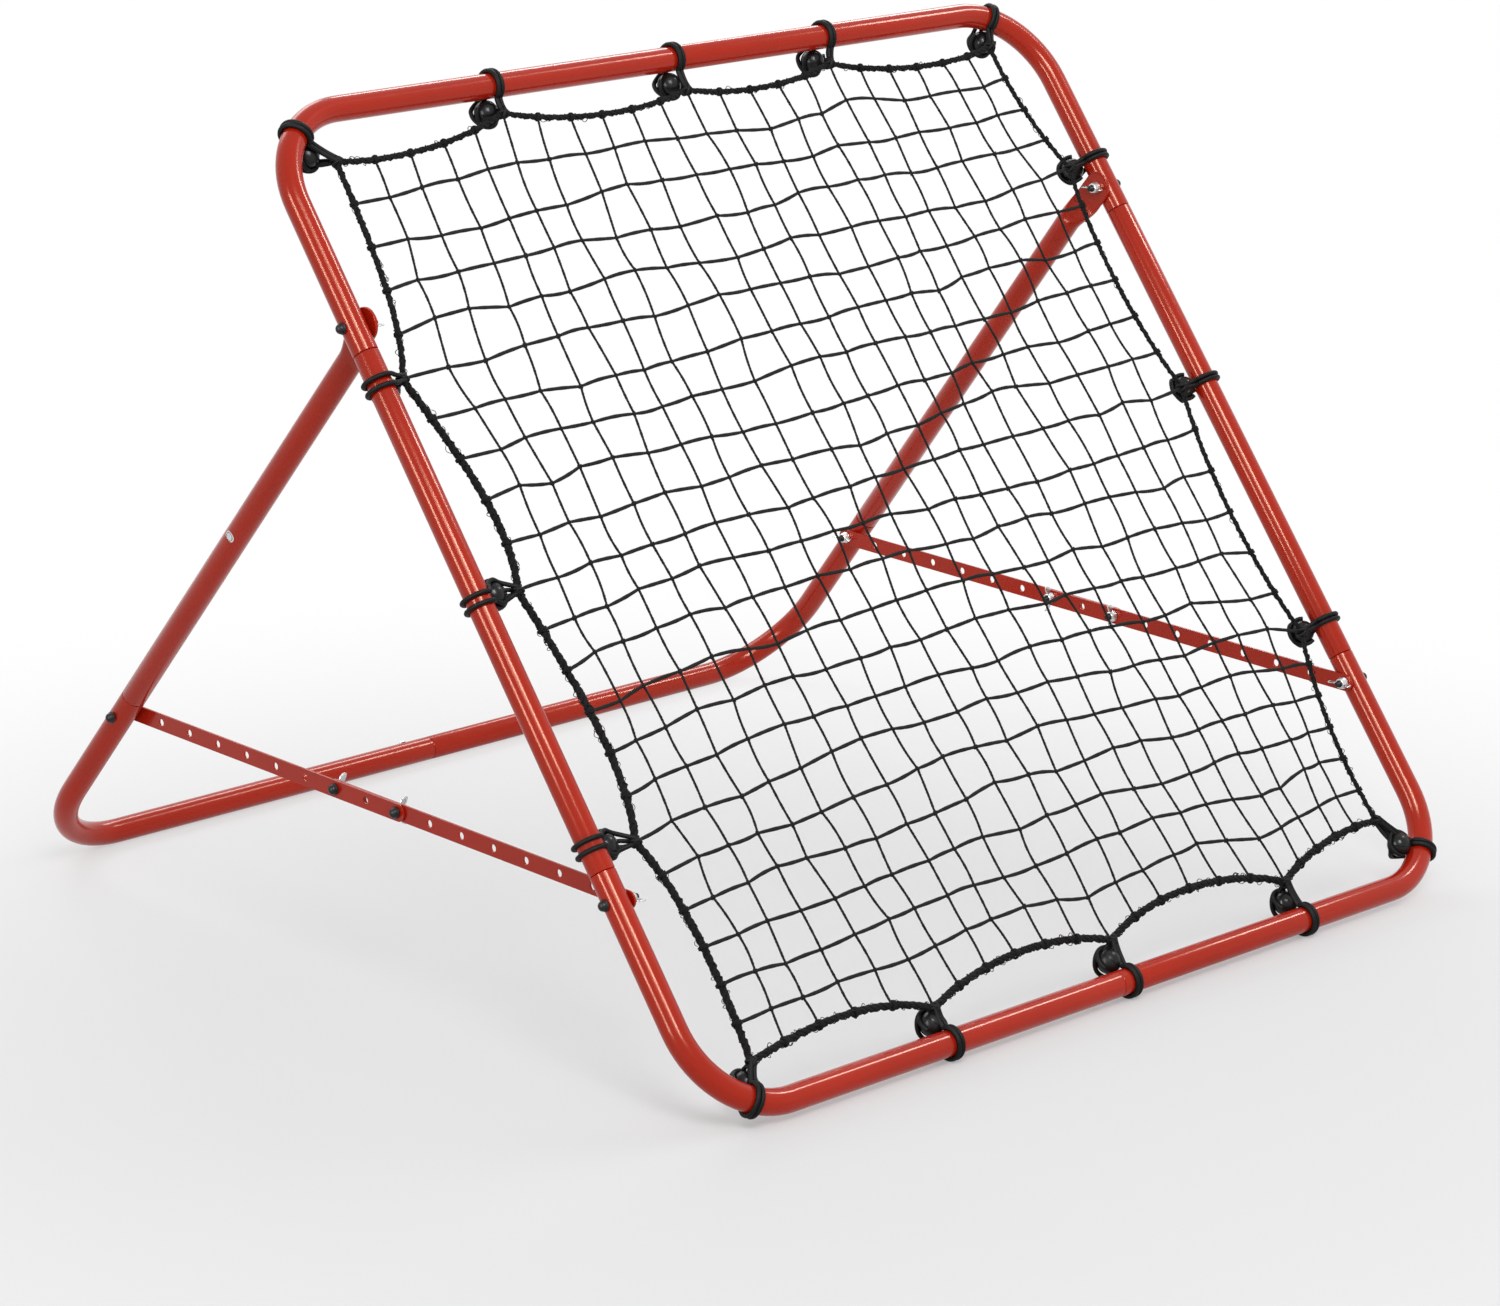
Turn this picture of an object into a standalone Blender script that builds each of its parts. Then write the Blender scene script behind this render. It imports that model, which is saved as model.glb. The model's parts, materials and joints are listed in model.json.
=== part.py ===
"""A pitch back rebounder: a square net on a leaning tube frame, with a rear frame that folds.

The front frame is six steel tubes in a square. A net hangs in it from sixteen ball ties.
The rear frame is four tubes in a U, hinged to the front frame at its sides. On each side a
strut of two perforated bars, lapped and bolted together, sets how far the frame leans.
Units are metres, +Z is up, and the net faces -Y. The origin is under the object's middle.
"""

import math

import bmesh
import bpy
from mathutils import Matrix, Vector

# Driving dimensions.
FRAME_SIZE = 0.976  # between the axes of opposite tubes of the front frame
TUBE_DIAMETER = 0.024
TUBE_WALL = 0.0015
BEND_RADIUS = 0.086  # of the front frame's corners, to the tube's axis
REAR_BEND_RADIUS = 0.097
PIVOT_UP = 0.767  # from the bottom rail to the fold pivot, along the frame
LEG_LENGTH = 0.7785  # from the fold pivot to the rear rail
ARM = 0.560  # from the fold pivot to each end bolt of a strut
HOLE_PITCH = 0.0434  # between the holes of a strut bar
STRUT_PITCHES = 16  # hole pitches between the end bolts of a strut
BAR_HOLES = 10
LAP_PITCHES = 2  # hole pitches between the two lock bolts
BAR_WIDTH = 0.0165
BAR_THICKNESS = 0.002
BAR_END = 0.0103  # from the last hole to the end of a bar
HOLE_DIAMETER = 0.007
SEAM_TO_BOLT = 0.027  # from the mouth of a joint to the bolt that pins it
SPIGOT_LENGTH = 0.055
RAIL_SEAM = 0.010  # the seams of the front rails lie this far right of the middle
EYE_RADIUS = 0.017  # flattened end of a leg
EYE_THICKNESS = 0.0032
EYE_FLAT = 0.022  # the leg is flat this far below the pivot
EYE_ROUND = 0.058  # and round from here on
BOLT_DIAMETER = 0.006
HEAD_DIAMETER = 0.011
HEAD_HEIGHT = 0.007
BOLT_BEYOND_NUT = 0.004
NUT_DIAMETER = 0.0125
NUT_HEIGHT = 0.0065
WING_SPAN = 0.027
WING_HEIGHT = 0.0095
WING_THICKNESS = 0.002
SCREW_HEAD = 0.009
SCREW_DIAMETER = 0.004
BALL_DIAMETER = 0.023
CORD_DIAMETER = 0.0045
ROPE_DIAMETER = 0.006
ROPE_SAG = 0.065  # of the border rope between two ties, as a share of their distance
TWINE = 0.0024
CELLS = 12  # gaps of the net along each side
LOOP_SLACK = 0.0018  # a tie's loop reaches this far past the net's edge
BAND = 1.9  # a side tie's two strands side by side, in cord diameters
CLEARANCE = 0.0003

# Places of the ties: along the rails as shares of half their length, on the sides from the
# bolts next to them, and round the corners as angles from +X.
TOP_TIES = (-0.441, 0.025, 0.434)
BOTTOM_TIES = (-0.424, 0.053, 0.560)
TIE_ABOVE_STRUT = {"left": 0.049, "right": 0.064}
TIE_ABOVE_PIVOT = {"left": -0.059, "right": 0.031}
TIE_BETWEEN = {"left": 0.529, "right": 0.513}  # share of the way from the lower to the upper
CORNER_TIES = {"bottom_left": 237, "bottom_right": 316, "top_right": 63, "top_left": 131}
# How much further from its tube these ties hold the rope than the others do.
LONG_TIES = {"bottom_right": 0.017, "left_1": 0.010, "left_2": 0.007, "top_left": 0.007}
TOP_BALL_TURN = math.radians(30)  # the balls of the top ties sit this far behind the frame

# Fineness of the round shapes.
BEND_STEPS = 6
SIDES = 12
ROUND_STEPS = 10
HOLE_SIDES = 8
LOOP_STEP = math.radians(36)
SPAN_STEPS = 4

# Sizes that follow.
TUBE_R = TUBE_DIAMETER / 2
BORE_R = TUBE_R - TUBE_WALL
SPIGOT_R = BORE_R * math.cos(math.pi / SIDES) - CLEARANCE
FACET_R = TUBE_R * math.cos(math.pi / SIDES)
HALF = FRAME_SIZE / 2
CORD_R = CORD_DIAMETER / 2
ROPE_R = ROPE_DIAMETER / 2
BALL_R = BALL_DIAMETER / 2
LOOP_R = (TUBE_R + CLEARANCE + CORD_R) / math.cos(LOOP_STEP / 2)
BALL_OUT = TUBE_R + CLEARANCE + BALL_R  # from a tube's axis to a ball
BALL_TO_ROPE = BALL_R + CLEARANCE + ROPE_R
ROPE_OUT = BALL_OUT + BALL_TO_ROPE  # from a tube's axis to the rope
TOP_BALL_BACK = BALL_OUT * math.sin(TOP_BALL_TURN)
TOP_ROPE_OUT = BALL_OUT * math.cos(TOP_BALL_TURN) + math.sqrt(
    max(BALL_TO_ROPE**2 - TOP_BALL_BACK**2, 0)
)
ROPE_RISE = ROPE_SAG * FRAME_SIZE + 2 * max(LONG_TIES.values())
NET_SLACK = ROPE_RISE / CELLS / 2  # the rope's bends come this near the net
EDGE_IN = ROPE_R + 2 * CLEARANCE + NET_SLACK  # from the rope's axis to the net's edge
LINE_TO_TIE = CORD_R * BAND + 3 * TWINE  # the least, along the rope
FRONT_RAIL_Z = (LOOP_R + CORD_R * math.cos(math.pi / 6)) * math.cos(LOOP_STEP / 2)
REAR_RAIL_Z = FACET_R

# Planes of the side pieces, as distances from the middle of the object.
RAIL_FACE = HALF - TUBE_R
FRONT_BAR = RAIL_FACE - CLEARANCE - BAR_THICKNESS / 2
REAR_BAR = FRONT_BAR + BAR_THICKNESS + CLEARANCE
LEG_AT_STRUT = REAR_BAR + BAR_THICKNESS / 2 + 3 * CLEARANCE + TUBE_R  # it leans on the bar
LEG_AT_PIVOT = HALF - TUBE_DIAMETER - CLEARANCE
LEG_SPREAD = (LEG_AT_STRUT - LEG_AT_PIVOT) / ARM
LEG_AT_FLOOR = LEG_AT_PIVOT + LEG_SPREAD * LEG_LENGTH

# The struts fix the angle at the pivot. The front frame then leans so that both rails
# stand on the floor.
STRUT_LENGTH = STRUT_PITCHES * HOLE_PITCH
APEX = 2 * math.asin(STRUT_LENGTH / 2 / ARM)
ACROSS = LEG_LENGTH * math.sin(APEX)
ALONG = PIVOT_UP - LEG_LENGTH * math.cos(APEX)
LEAN = math.atan2(ACROSS, ALONG) + math.asin(
    (REAR_RAIL_Z - FRONT_RAIL_Z) / math.hypot(ACROSS, ALONG)
)
LEG_SLOPE = math.pi - APEX - LEAN
STRUT_TURN = (math.pi - APEX) / 2  # between a strut and the tube at each of its ends
DEPTH = PIVOT_UP * math.cos(LEAN) + LEG_LENGTH * math.cos(LEG_SLOPE)
FRONT_Y = -(DEPTH + TUBE_R - FRONT_RAIL_Z) / 2
STRUT_FOOT = PIVOT_UP - ARM  # the strut's front bolt, up from the bottom rail
LOW_SEAM = STRUT_FOOT + SEAM_TO_BOLT
HIGH_SEAM = PIVOT_UP - SEAM_TO_BOLT
LEG_SEAM = ARM - SEAM_TO_BOLT

RED = ("red_paint", (0.62, 0.035, 0.022, 1), 0.22, 0.0)
BLACK = ("black_steel", (0.02, 0.02, 0.022, 1), 0.35, 0.0)
ZINC = ("zinc_plate", (0.62, 0.62, 0.6, 1), 0.3, 1.0)
CORD = ("black_cord", (0.018, 0.018, 0.018, 1), 0.8, 0.0)
TWINE_BLACK = ("black_twine", (0.03, 0.03, 0.03, 1), 0.85, 0.0)


def clear_scene():
    for obj in list(bpy.data.objects):
        bpy.data.objects.remove(obj, do_unlink=True)


def collection(name, is_helper=False):
    made = bpy.data.collections.new(name)
    bpy.context.scene.collection.children.link(made)
    made.hide_render = is_helper
    return made


def material(finish):
    name, color, roughness, metallic = finish
    made = bpy.data.materials.get(name)
    if made is None:
        made = bpy.data.materials.new(name)
        made.use_nodes = True
        shader = made.node_tree.nodes["Principled BSDF"]
        shader.inputs["Base Color"].default_value = color
        shader.inputs["Roughness"].default_value = roughness
        shader.inputs["Metallic"].default_value = metallic
    return made


def place(name, data, parent, finish, at=(0, 0, 0), turn=None):
    """A named piece of the object, at a place in its parent's frame."""
    obj = bpy.data.objects.new(name, data)
    PARTS.objects.link(obj)
    obj.parent = parent
    obj.location = at
    if turn is not None:
        obj.rotation_euler = turn
    if not data.materials:
        data.materials.append(material(finish))
    return obj


def axis_empty(name, at, turn, parent=None):
    """An empty whose X axis is a joint's axis."""
    empty = bpy.data.objects.new(name, None)
    PARTS.objects.link(empty)
    empty.parent = parent
    empty.location = at
    empty.rotation_euler = (turn, 0, 0)
    return empty


def shade(mesh, degrees=35):
    mesh.shade_smooth()
    mesh.set_sharp_from_angle(angle=math.radians(degrees))


def mesh_of(obj):
    """The evaluated mesh of a curve or of an object with modifiers, which is then removed."""
    bpy.context.view_layer.update()
    graph = bpy.context.evaluated_depsgraph_get()
    mesh = bpy.data.meshes.new_from_object(obj.evaluated_get(graph))
    mesh.materials.clear()
    bpy.data.objects.remove(obj, do_unlink=True)
    return mesh


def weld(mesh):
    shape = bmesh.new()
    shape.from_mesh(mesh)
    bmesh.ops.remove_doubles(shape, verts=shape.verts, dist=1e-6)
    bmesh.ops.recalc_face_normals(shape, faces=shape.faces)
    shape.to_mesh(mesh)
    shape.free()
    return mesh


def swept(points, radius, sides, closed=False, scales=None, turn=0.0, capped=True):
    """A round tube along points, as a mesh. scales makes it thinner or thicker by the way."""
    curve = bpy.data.curves.new("route", "CURVE")
    curve.dimensions = "3D"
    curve.twist_mode = "Z_UP"
    curve.bevel_depth = radius
    curve.bevel_resolution = (sides - 4) // 2
    curve.use_fill_caps = capped and not closed
    spline = curve.splines.new("POLY")
    spline.points.add(len(points) - 1)
    for index, (knot, point) in enumerate(zip(spline.points, points)):
        knot.co = (*point, 1)
        knot.tilt = turn
        knot.radius = scales[index] if scales else 1.0
    spline.use_cyclic_u = closed
    obj = bpy.data.objects.new("route", curve)
    PARTS.objects.link(obj)
    return weld(mesh_of(obj))


def turned(profile, steps=ROUND_STEPS):
    """A turned solid about Z. The profile, at +X, starts and ends on the axis or closes."""
    mesh = bpy.data.meshes.new("profile")
    closed = profile[0] == profile[-1]
    points = profile[:-1] if closed else profile
    count = len(points)
    pairs = [(i, (i + 1) % count) for i in range(count if closed else count - 1)]
    mesh.from_pydata([(r, 0, z) for r, z in points], pairs, [])
    obj = bpy.data.objects.new("profile", mesh)
    PARTS.objects.link(obj)
    screw = obj.modifiers.new("turn", "SCREW")
    screw.steps = steps
    screw.render_steps = steps
    screw.use_merge_vertices = True
    screw.merge_threshold = 1e-6
    return weld(mesh_of(obj))


def helper(name, mesh, parent=None, at=(0, 0, 0), turn=(0, 0, 0)):
    """A cutter, kept out of the render."""
    obj = bpy.data.objects.new(name, mesh)
    CUTTERS.objects.link(obj)
    obj.parent = parent
    obj.location = at
    obj.rotation_euler = turn
    obj.hide_render = True
    obj.display_type = "WIRE"
    return obj


def cut(obj, cutter):
    boolean = obj.modifiers.new("cut " + cutter.name, "BOOLEAN")
    boolean.object = cutter
    boolean.operation = "DIFFERENCE"
    boolean.solver = "EXACT"


def round_bar(diameter, length, sides=HOLE_SIDES):
    shape = bmesh.new()
    bmesh.ops.create_cone(
        shape, cap_ends=True, segments=sides, radius1=diameter / 2,
        radius2=diameter / 2, depth=length,
    )
    mesh = bpy.data.meshes.new("round_bar")
    shape.to_mesh(mesh)
    shape.free()
    return mesh


def drill(obj, name, at, diameter, length, along_x=True):
    """A round hole through a piece, at a place in its parent's frame."""
    turn = (0, math.pi / 2, 0) if along_x else (0, 0, 0)
    cut(obj, helper(name, round_bar(diameter, length), obj.parent, at, turn))


# ---- tubes ----

def bend(start, corner, end, radius):
    """Points of a bend of this radius at corner, on the way from start to end."""
    one = (Vector(start) - Vector(corner)).normalized()
    two = (Vector(end) - Vector(corner)).normalized()
    half = one.angle(two) / 2
    middle = Vector(corner) + (one + two).normalized() * radius / math.sin(half)
    first = (Vector(corner) + one * radius / math.tan(half)) - middle
    last = (Vector(corner) + two * radius / math.tan(half)) - middle
    sweep = first.angle(last)
    points = []
    for step in range(BEND_STEPS + 1):
        share = step / BEND_STEPS
        arm = first * math.sin((1 - share) * sweep) + last * math.sin(share * sweep)
        points.append(middle + arm / math.sin(sweep))
    return points


def spigot(end, inward):
    """Points and radii of a reduced end: its shoulder, then its tip, beyond the body's end."""
    outward = -Vector(inward).normalized()
    shoulder = Vector(end) + outward * -CLEARANCE
    points = [
        shoulder - outward * (TUBE_R - SPIGOT_R),
        shoulder,
        Vector(end) + outward * SPIGOT_LENGTH,
    ]
    scale = SPIGOT_R / TUBE_R
    return points, [1.0, scale, scale]


def pipe(name, parent, points, scales, turn):
    """A hollow tube with open ends."""
    mesh = swept(points, TUBE_R, SIDES, scales=scales, turn=turn, capped=False)
    shade(mesh)
    obj = place(name, mesh, parent, RED)
    wall = obj.modifiers.new("wall", "SOLIDIFY")
    wall.thickness = TUBE_WALL
    wall.offset = -1
    wall.use_even_offset = True
    return obj


def corner_tube(name, parent, mouth, corner, rail_end, radius, has_spigot, turn):
    """An L-shaped tube from a mouth on a side, round a corner, to the seam of a rail."""
    points = [Vector(mouth)] + bend(mouth, corner, rail_end, radius)
    scales = [1.0] * len(points)
    if has_spigot:
        tip_points, tip_scales = spigot(rail_end, Vector(corner) - Vector(rail_end))
        points += tip_points
        scales += tip_scales
    else:
        points.append(Vector(rail_end))
        scales.append(1.0)
    return pipe(name, parent, points, scales, turn)


def side_tube(name, parent, x, low, high, turn):
    """A straight tube up a side, reduced at both ends to fit the corner tubes."""
    low_points, low_scales = spigot((x, low, 0), (0, 1, 0))
    high_points, high_scales = spigot((x, high, 0), (0, -1, 0))
    points = low_points[::-1] + high_points
    return pipe(name, parent, points, low_scales[::-1] + high_scales, turn)


def ring(shape, center, width, height, square):
    """A closed ring of vertices across a leg: round for square 1, and boxy towards 0."""
    made = []
    for side in range(SIDES):
        angle = 2 * math.pi * (side + 0.5) / SIDES
        c, s = math.cos(angle), math.sin(angle)
        across = math.copysign(abs(c) ** square, c) * height
        along = math.copysign(abs(s) ** square, s) * width
        made.append(shape.verts.new((center[0] + across, center[1], center[2] + along)))
    return made


def lofted(sections):
    """A closed solid through rings, each (center, width, height, square)."""
    shape = bmesh.new()
    rings = [ring(shape, *section) for section in sections]
    for one, two in zip(rings, rings[1:]):
        for side in range(SIDES):
            after = (side + 1) % SIDES
            shape.faces.new((one[side], one[after], two[after], two[side]))
    shape.faces.new(rings[0])
    shape.faces.new(rings[-1])
    bmesh.ops.recalc_face_normals(shape, faces=shape.faces)
    mesh = bpy.data.meshes.new("loft")
    shape.to_mesh(mesh)
    shape.free()
    return mesh


def leg_x(side, along):
    return side * (LEG_AT_PIVOT + LEG_SPREAD * along)


def leg_tube(name, parent, side):
    """A leg: a flattened eye at the pivot, a round tube, and a reduced end for the corner."""
    eye_x = side * (LEG_AT_PIVOT + TUBE_R - EYE_THICKNESS / 2)
    flat = EYE_THICKNESS / 2
    sections = []
    for degrees in (78, 55, 30, 0):
        angle = math.radians(degrees)
        center = (eye_x, -EYE_RADIUS * math.sin(angle), 0)
        sections.append((center, EYE_RADIUS * math.cos(angle), flat, 0.25))
    sections.append(((eye_x, EYE_FLAT, 0), EYE_RADIUS, flat, 0.25))
    for share in (0.33, 0.66, 1.0):
        ease = share * share * (3 - 2 * share)
        along = EYE_FLAT + (EYE_ROUND - EYE_FLAT) * share
        x = eye_x + (leg_x(side, along) - eye_x) * ease
        width = EYE_RADIUS + (TUBE_R - EYE_RADIUS) * ease
        height = flat + (TUBE_R - flat) * ease
        sections.append(((x, along, 0), width, height, 0.25 + 0.75 * ease))
    shoulder = LEG_SEAM - CLEARANCE
    reduced = (
        (shoulder - (TUBE_R - SPIGOT_R), TUBE_R),
        (shoulder, SPIGOT_R),
        (LEG_SEAM + SPIGOT_LENGTH, SPIGOT_R),
    )
    for along, radius in reduced:
        sections.append(((leg_x(side, along), along, 0), radius, radius, 1.0))
    mesh = lofted(sections)
    shade(mesh)
    obj = place(name, mesh, parent, RED)

    spigot_bore = SPIGOT_R - TUBE_WALL
    bore = []
    narrowing = shoulder - TUBE_DIAMETER / 2
    steps = (
        (EYE_ROUND, 0.001),
        (EYE_ROUND + TUBE_R, BORE_R),
        (narrowing, BORE_R),
        (narrowing + TUBE_R / 2, spigot_bore),
        (LEG_SEAM + 2 * SPIGOT_LENGTH, spigot_bore),
    )
    for along, radius in steps:
        bore.append(((leg_x(side, along), along, 0), radius, radius, 1.0))
    cut(obj, helper(name + "_bore", lofted(bore), parent))
    drill(obj, name + "_pivot_hole", (eye_x, 0, 0), HOLE_DIAMETER, 3 * EYE_THICKNESS)
    drill(obj, name + "_strut_hole", (leg_x(side, ARM), ARM, 0), HOLE_DIAMETER, 2 * TUBE_DIAMETER)
    return obj


def front_tubes(parent):
    turn = math.pi / SIDES
    for side, word in ((-1, "left"), (1, "right")):
        x = side * HALF
        seam = RAIL_SEAM
        top = corner_tube(
            "front_corner_top_" + word, parent, (x, HIGH_SEAM, 0), (x, FRAME_SIZE, 0),
            (seam, FRAME_SIZE, 0), BEND_RADIUS, side > 0, turn,
        )
        drill(top, top.name + "_pivot_hole", (x, PIVOT_UP, 0), HOLE_DIAMETER, 2 * TUBE_DIAMETER)
        low = corner_tube(
            "front_corner_bottom_" + word, parent, (x, LOW_SEAM, 0), (x, 0, 0),
            (seam, 0, 0), BEND_RADIUS, side > 0, turn,
        )
        drill(low, low.name + "_strut_hole", (x, STRUT_FOOT, 0), HOLE_DIAMETER, 2 * TUBE_DIAMETER)
        mid = side_tube("front_side_" + word, parent, x, LOW_SEAM, HIGH_SEAM, turn)
        drill(mid, mid.name + "_low_hole", (x, STRUT_FOOT, 0), HOLE_DIAMETER, 2 * TUBE_DIAMETER)
        drill(mid, mid.name + "_high_hole", (x, PIVOT_UP, 0), HOLE_DIAMETER, 2 * TUBE_DIAMETER)


def rear_tubes(parent):
    for side, word in ((-1, "left"), (1, "right")):
        # One facet of the rear rail lies flat on the floor.
        turn = side * (math.pi / 2 - LEG_SLOPE + math.pi / SIDES)
        leg_tube("rear_leg_" + word, parent, side)
        mouth = (leg_x(side, LEG_SEAM), LEG_SEAM, 0)
        corner = (side * LEG_AT_FLOOR, LEG_LENGTH, 0)
        low = corner_tube(
            "rear_corner_" + word, parent, mouth, corner, (0, LEG_LENGTH, 0),
            REAR_BEND_RADIUS, side > 0, turn,
        )
        at = (leg_x(side, ARM), ARM, 0)
        drill(low, low.name + "_strut_hole", at, HOLE_DIAMETER, 2 * TUBE_DIAMETER)


# ---- struts ----

def stadium(length, radius):
    """The outline of a bar with round ends, from its first hole along +Y."""
    low, high = radius - BAR_END, length + BAR_END - radius
    points = []
    for step in range(6):
        angle = math.pi * (1 + step / 5)
        points.append((radius * math.cos(angle), low + radius * math.sin(angle)))
    for step in range(6):
        angle = math.pi * step / 5
        points.append((radius * math.cos(angle), high + radius * math.sin(angle)))
    return points


def add_outline(curve, points):
    spline = curve.splines.new("POLY")
    spline.points.add(len(points) - 1)
    for knot, (x, y) in zip(spline.points, points):
        knot.co = (x, y, 0, 1)
    spline.use_cyclic_u = True


def bar_mesh():
    """A perforated flat bar in the XY plane, its first hole at the origin."""
    curve = bpy.data.curves.new("bar", "CURVE")
    curve.dimensions = "2D"
    curve.fill_mode = "BOTH"
    curve.extrude = BAR_THICKNESS / 2
    add_outline(curve, stadium((BAR_HOLES - 1) * HOLE_PITCH, BAR_WIDTH / 2))
    for hole in range(BAR_HOLES):
        circle = []
        for step in range(HOLE_SIDES):
            angle = 2 * math.pi * (step + 0.5) / HOLE_SIDES
            x = HOLE_DIAMETER / 2 * math.cos(angle)
            circle.append((x, hole * HOLE_PITCH + HOLE_DIAMETER / 2 * math.sin(angle)))
        add_outline(curve, circle)
    obj = bpy.data.objects.new("bar", curve)
    PARTS.objects.link(obj)
    return weld(mesh_of(obj))


def struts(root, pivot):
    """The bars, each turning about its end bolt. Returns the empties on those axes."""
    bar = bar_mesh()
    axes = {}
    ends = (
        ("front", root, STRUT_FOOT, -STRUT_TURN, FRONT_BAR),
        ("rear", pivot, ARM, math.pi + STRUT_TURN, REAR_BAR),
    )
    for end, parent, along, turn, plane in ends:
        for side, word in ((-1, "left"), (1, "right")):
            name = end + "_" + word
            axis = axis_empty("strut_" + name + "_axis", (0, along, 0), turn, parent)
            axes[name] = axis
            flat_on_side = (0, math.pi / 2, 0)
            place("strut_" + name, bar, axis, RED, (side * plane, 0, 0), flat_on_side)
    return axes


# ---- bolts and nuts ----

def bolt_mesh(length):
    """A bolt along Z with a domed head above its seat at the origin."""
    profile = []
    for degrees in (90, 60, 30, 0):
        angle = math.radians(degrees)
        profile.append((HEAD_DIAMETER / 2 * math.cos(angle), HEAD_HEIGHT * math.sin(angle)))
    profile[0] = (0, HEAD_HEIGHT)
    radius = BOLT_DIAMETER / 2
    profile += [(radius, 0), (radius, -length), (0, -length)]
    mesh = turned(profile)
    shade(mesh)
    return mesh


def stud_mesh(length):
    """The threaded half of a lock bolt, up from the origin."""
    radius = BOLT_DIAMETER / 2
    chamfer = radius / 4
    profile = [(0, length), (radius - chamfer, length), (radius, length - chamfer)]
    mesh = turned(profile + [(radius, 0), (0, 0)])
    shade(mesh)
    return mesh


def wing_nut_mesh():
    """A wing nut on Z, its seat at the origin."""
    hub = turned([
        (0, NUT_HEIGHT), (NUT_DIAMETER * 0.37, NUT_HEIGHT),
        (NUT_DIAMETER / 2, NUT_HEIGHT * 0.2), (NUT_DIAMETER / 2, 0), (0, 0),
    ])
    tip = WING_SPAN / 2
    low = NUT_HEIGHT * 0.25
    wing = [
        (0, low), (tip * 0.55, low), (tip, WING_HEIGHT * 0.55), (tip, WING_HEIGHT * 0.85),
        (tip * 0.85, WING_HEIGHT), (tip * 0.62, WING_HEIGHT * 0.9), (tip * 0.3, NUT_HEIGHT * 0.8),
    ]
    curve = bpy.data.curves.new("wings", "CURVE")
    curve.dimensions = "2D"
    curve.fill_mode = "BOTH"
    curve.extrude = WING_THICKNESS / 2
    add_outline(curve, wing + [(-x, y) for x, y in wing[::-1]][:-1])
    obj = bpy.data.objects.new("wings", curve)
    PARTS.objects.link(obj)
    wings = weld(mesh_of(obj))
    wings.transform(Matrix.Rotation(math.pi / 2, 4, "X"))

    body = bpy.data.objects.new("wing_nut", hub)
    PARTS.objects.link(body)
    plate = helper("wings", wings)
    join = body.modifiers.new("wings", "BOOLEAN")
    join.object = plate
    join.operation = "UNION"
    join.solver = "EXACT"
    bore = helper("nut_bore", round_bar(BOLT_DIAMETER + 2 * CLEARANCE, 4 * NUT_HEIGHT, ROUND_STEPS))
    cut(body, bore)
    mesh = mesh_of(body)
    bpy.data.objects.remove(plate, do_unlink=True)
    bpy.data.objects.remove(bore, do_unlink=True)
    shade(mesh)
    return mesh


def outward(side):
    """The turn that points a piece's Z axis away from the object's middle."""
    return (0, side * math.pi / 2, 0)


def fasteners(root, pivot, axes):
    """The bolts and wing nuts. Those of the pivot are clamped to the legs and turn with them."""
    nut = wing_nut_mesh()
    stack = NUT_HEIGHT + BOLT_BEYOND_NUT + CLEARANCE
    eye = LEG_AT_PIVOT + TUBE_R - EYE_THICKNESS
    places = (
        ("pivot", pivot, 0, HALF + TUBE_R, eye),
        ("strut_front", root, STRUT_FOOT, HALF + TUBE_R, FRONT_BAR - BAR_THICKNESS / 2),
        ("strut_rear", pivot, ARM, LEG_AT_STRUT + TUBE_R, REAR_BAR - BAR_THICKNESS / 2),
    )
    for what, parent, along, seat, nut_seat in places:
        length = seat + CLEARANCE - (nut_seat - stack)
        bolt = bolt_mesh(length)
        for side, word in ((-1, "left"), (1, "right")):
            at = (side * (seat + CLEARANCE), along, 0)
            place(f"{what}_bolt_{word}", bolt, parent, BLACK, at, outward(side))
            nut_at = (side * (nut_seat - CLEARANCE), along, 0)
            place(f"{what}_wing_nut_{word}", nut, parent, ZINC, nut_at, outward(-side))

    # The lock bolts are parted between the two bars, where the strut's loop is opened.
    lock = bolt_mesh(BAR_THICKNESS + 1.5 * CLEARANCE)
    stud = stud_mesh(BAR_THICKNESS + CLEARANCE / 2 + stack)
    for side, word in ((-1, "left"), (1, "right")):
        front, rear = axes["front_" + word], axes["rear_" + word]
        for number in (1, 2):
            front_hole = BAR_HOLES - 1 - LAP_PITCHES * (number - 1)
            rear_hole = STRUT_PITCHES - front_hole
            along = rear_hole * HOLE_PITCH
            head_at = (side * (REAR_BAR + BAR_THICKNESS / 2 + CLEARANCE), along, 0)
            place(f"lock_bolt_{word}_{number}", lock, rear, BLACK, head_at, outward(side))
            along = front_hole * HOLE_PITCH
            stud_at = (side * (FRONT_BAR + BAR_THICKNESS / 2), along, 0)
            place(f"lock_stud_{word}_{number}", stud, front, BLACK, stud_at, outward(-side))
            nut_at = (side * (FRONT_BAR - BAR_THICKNESS / 2 - CLEARANCE), along, 0)
            place(f"lock_wing_nut_{word}_{number}", nut, front, ZINC, nut_at, outward(-side))


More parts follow.
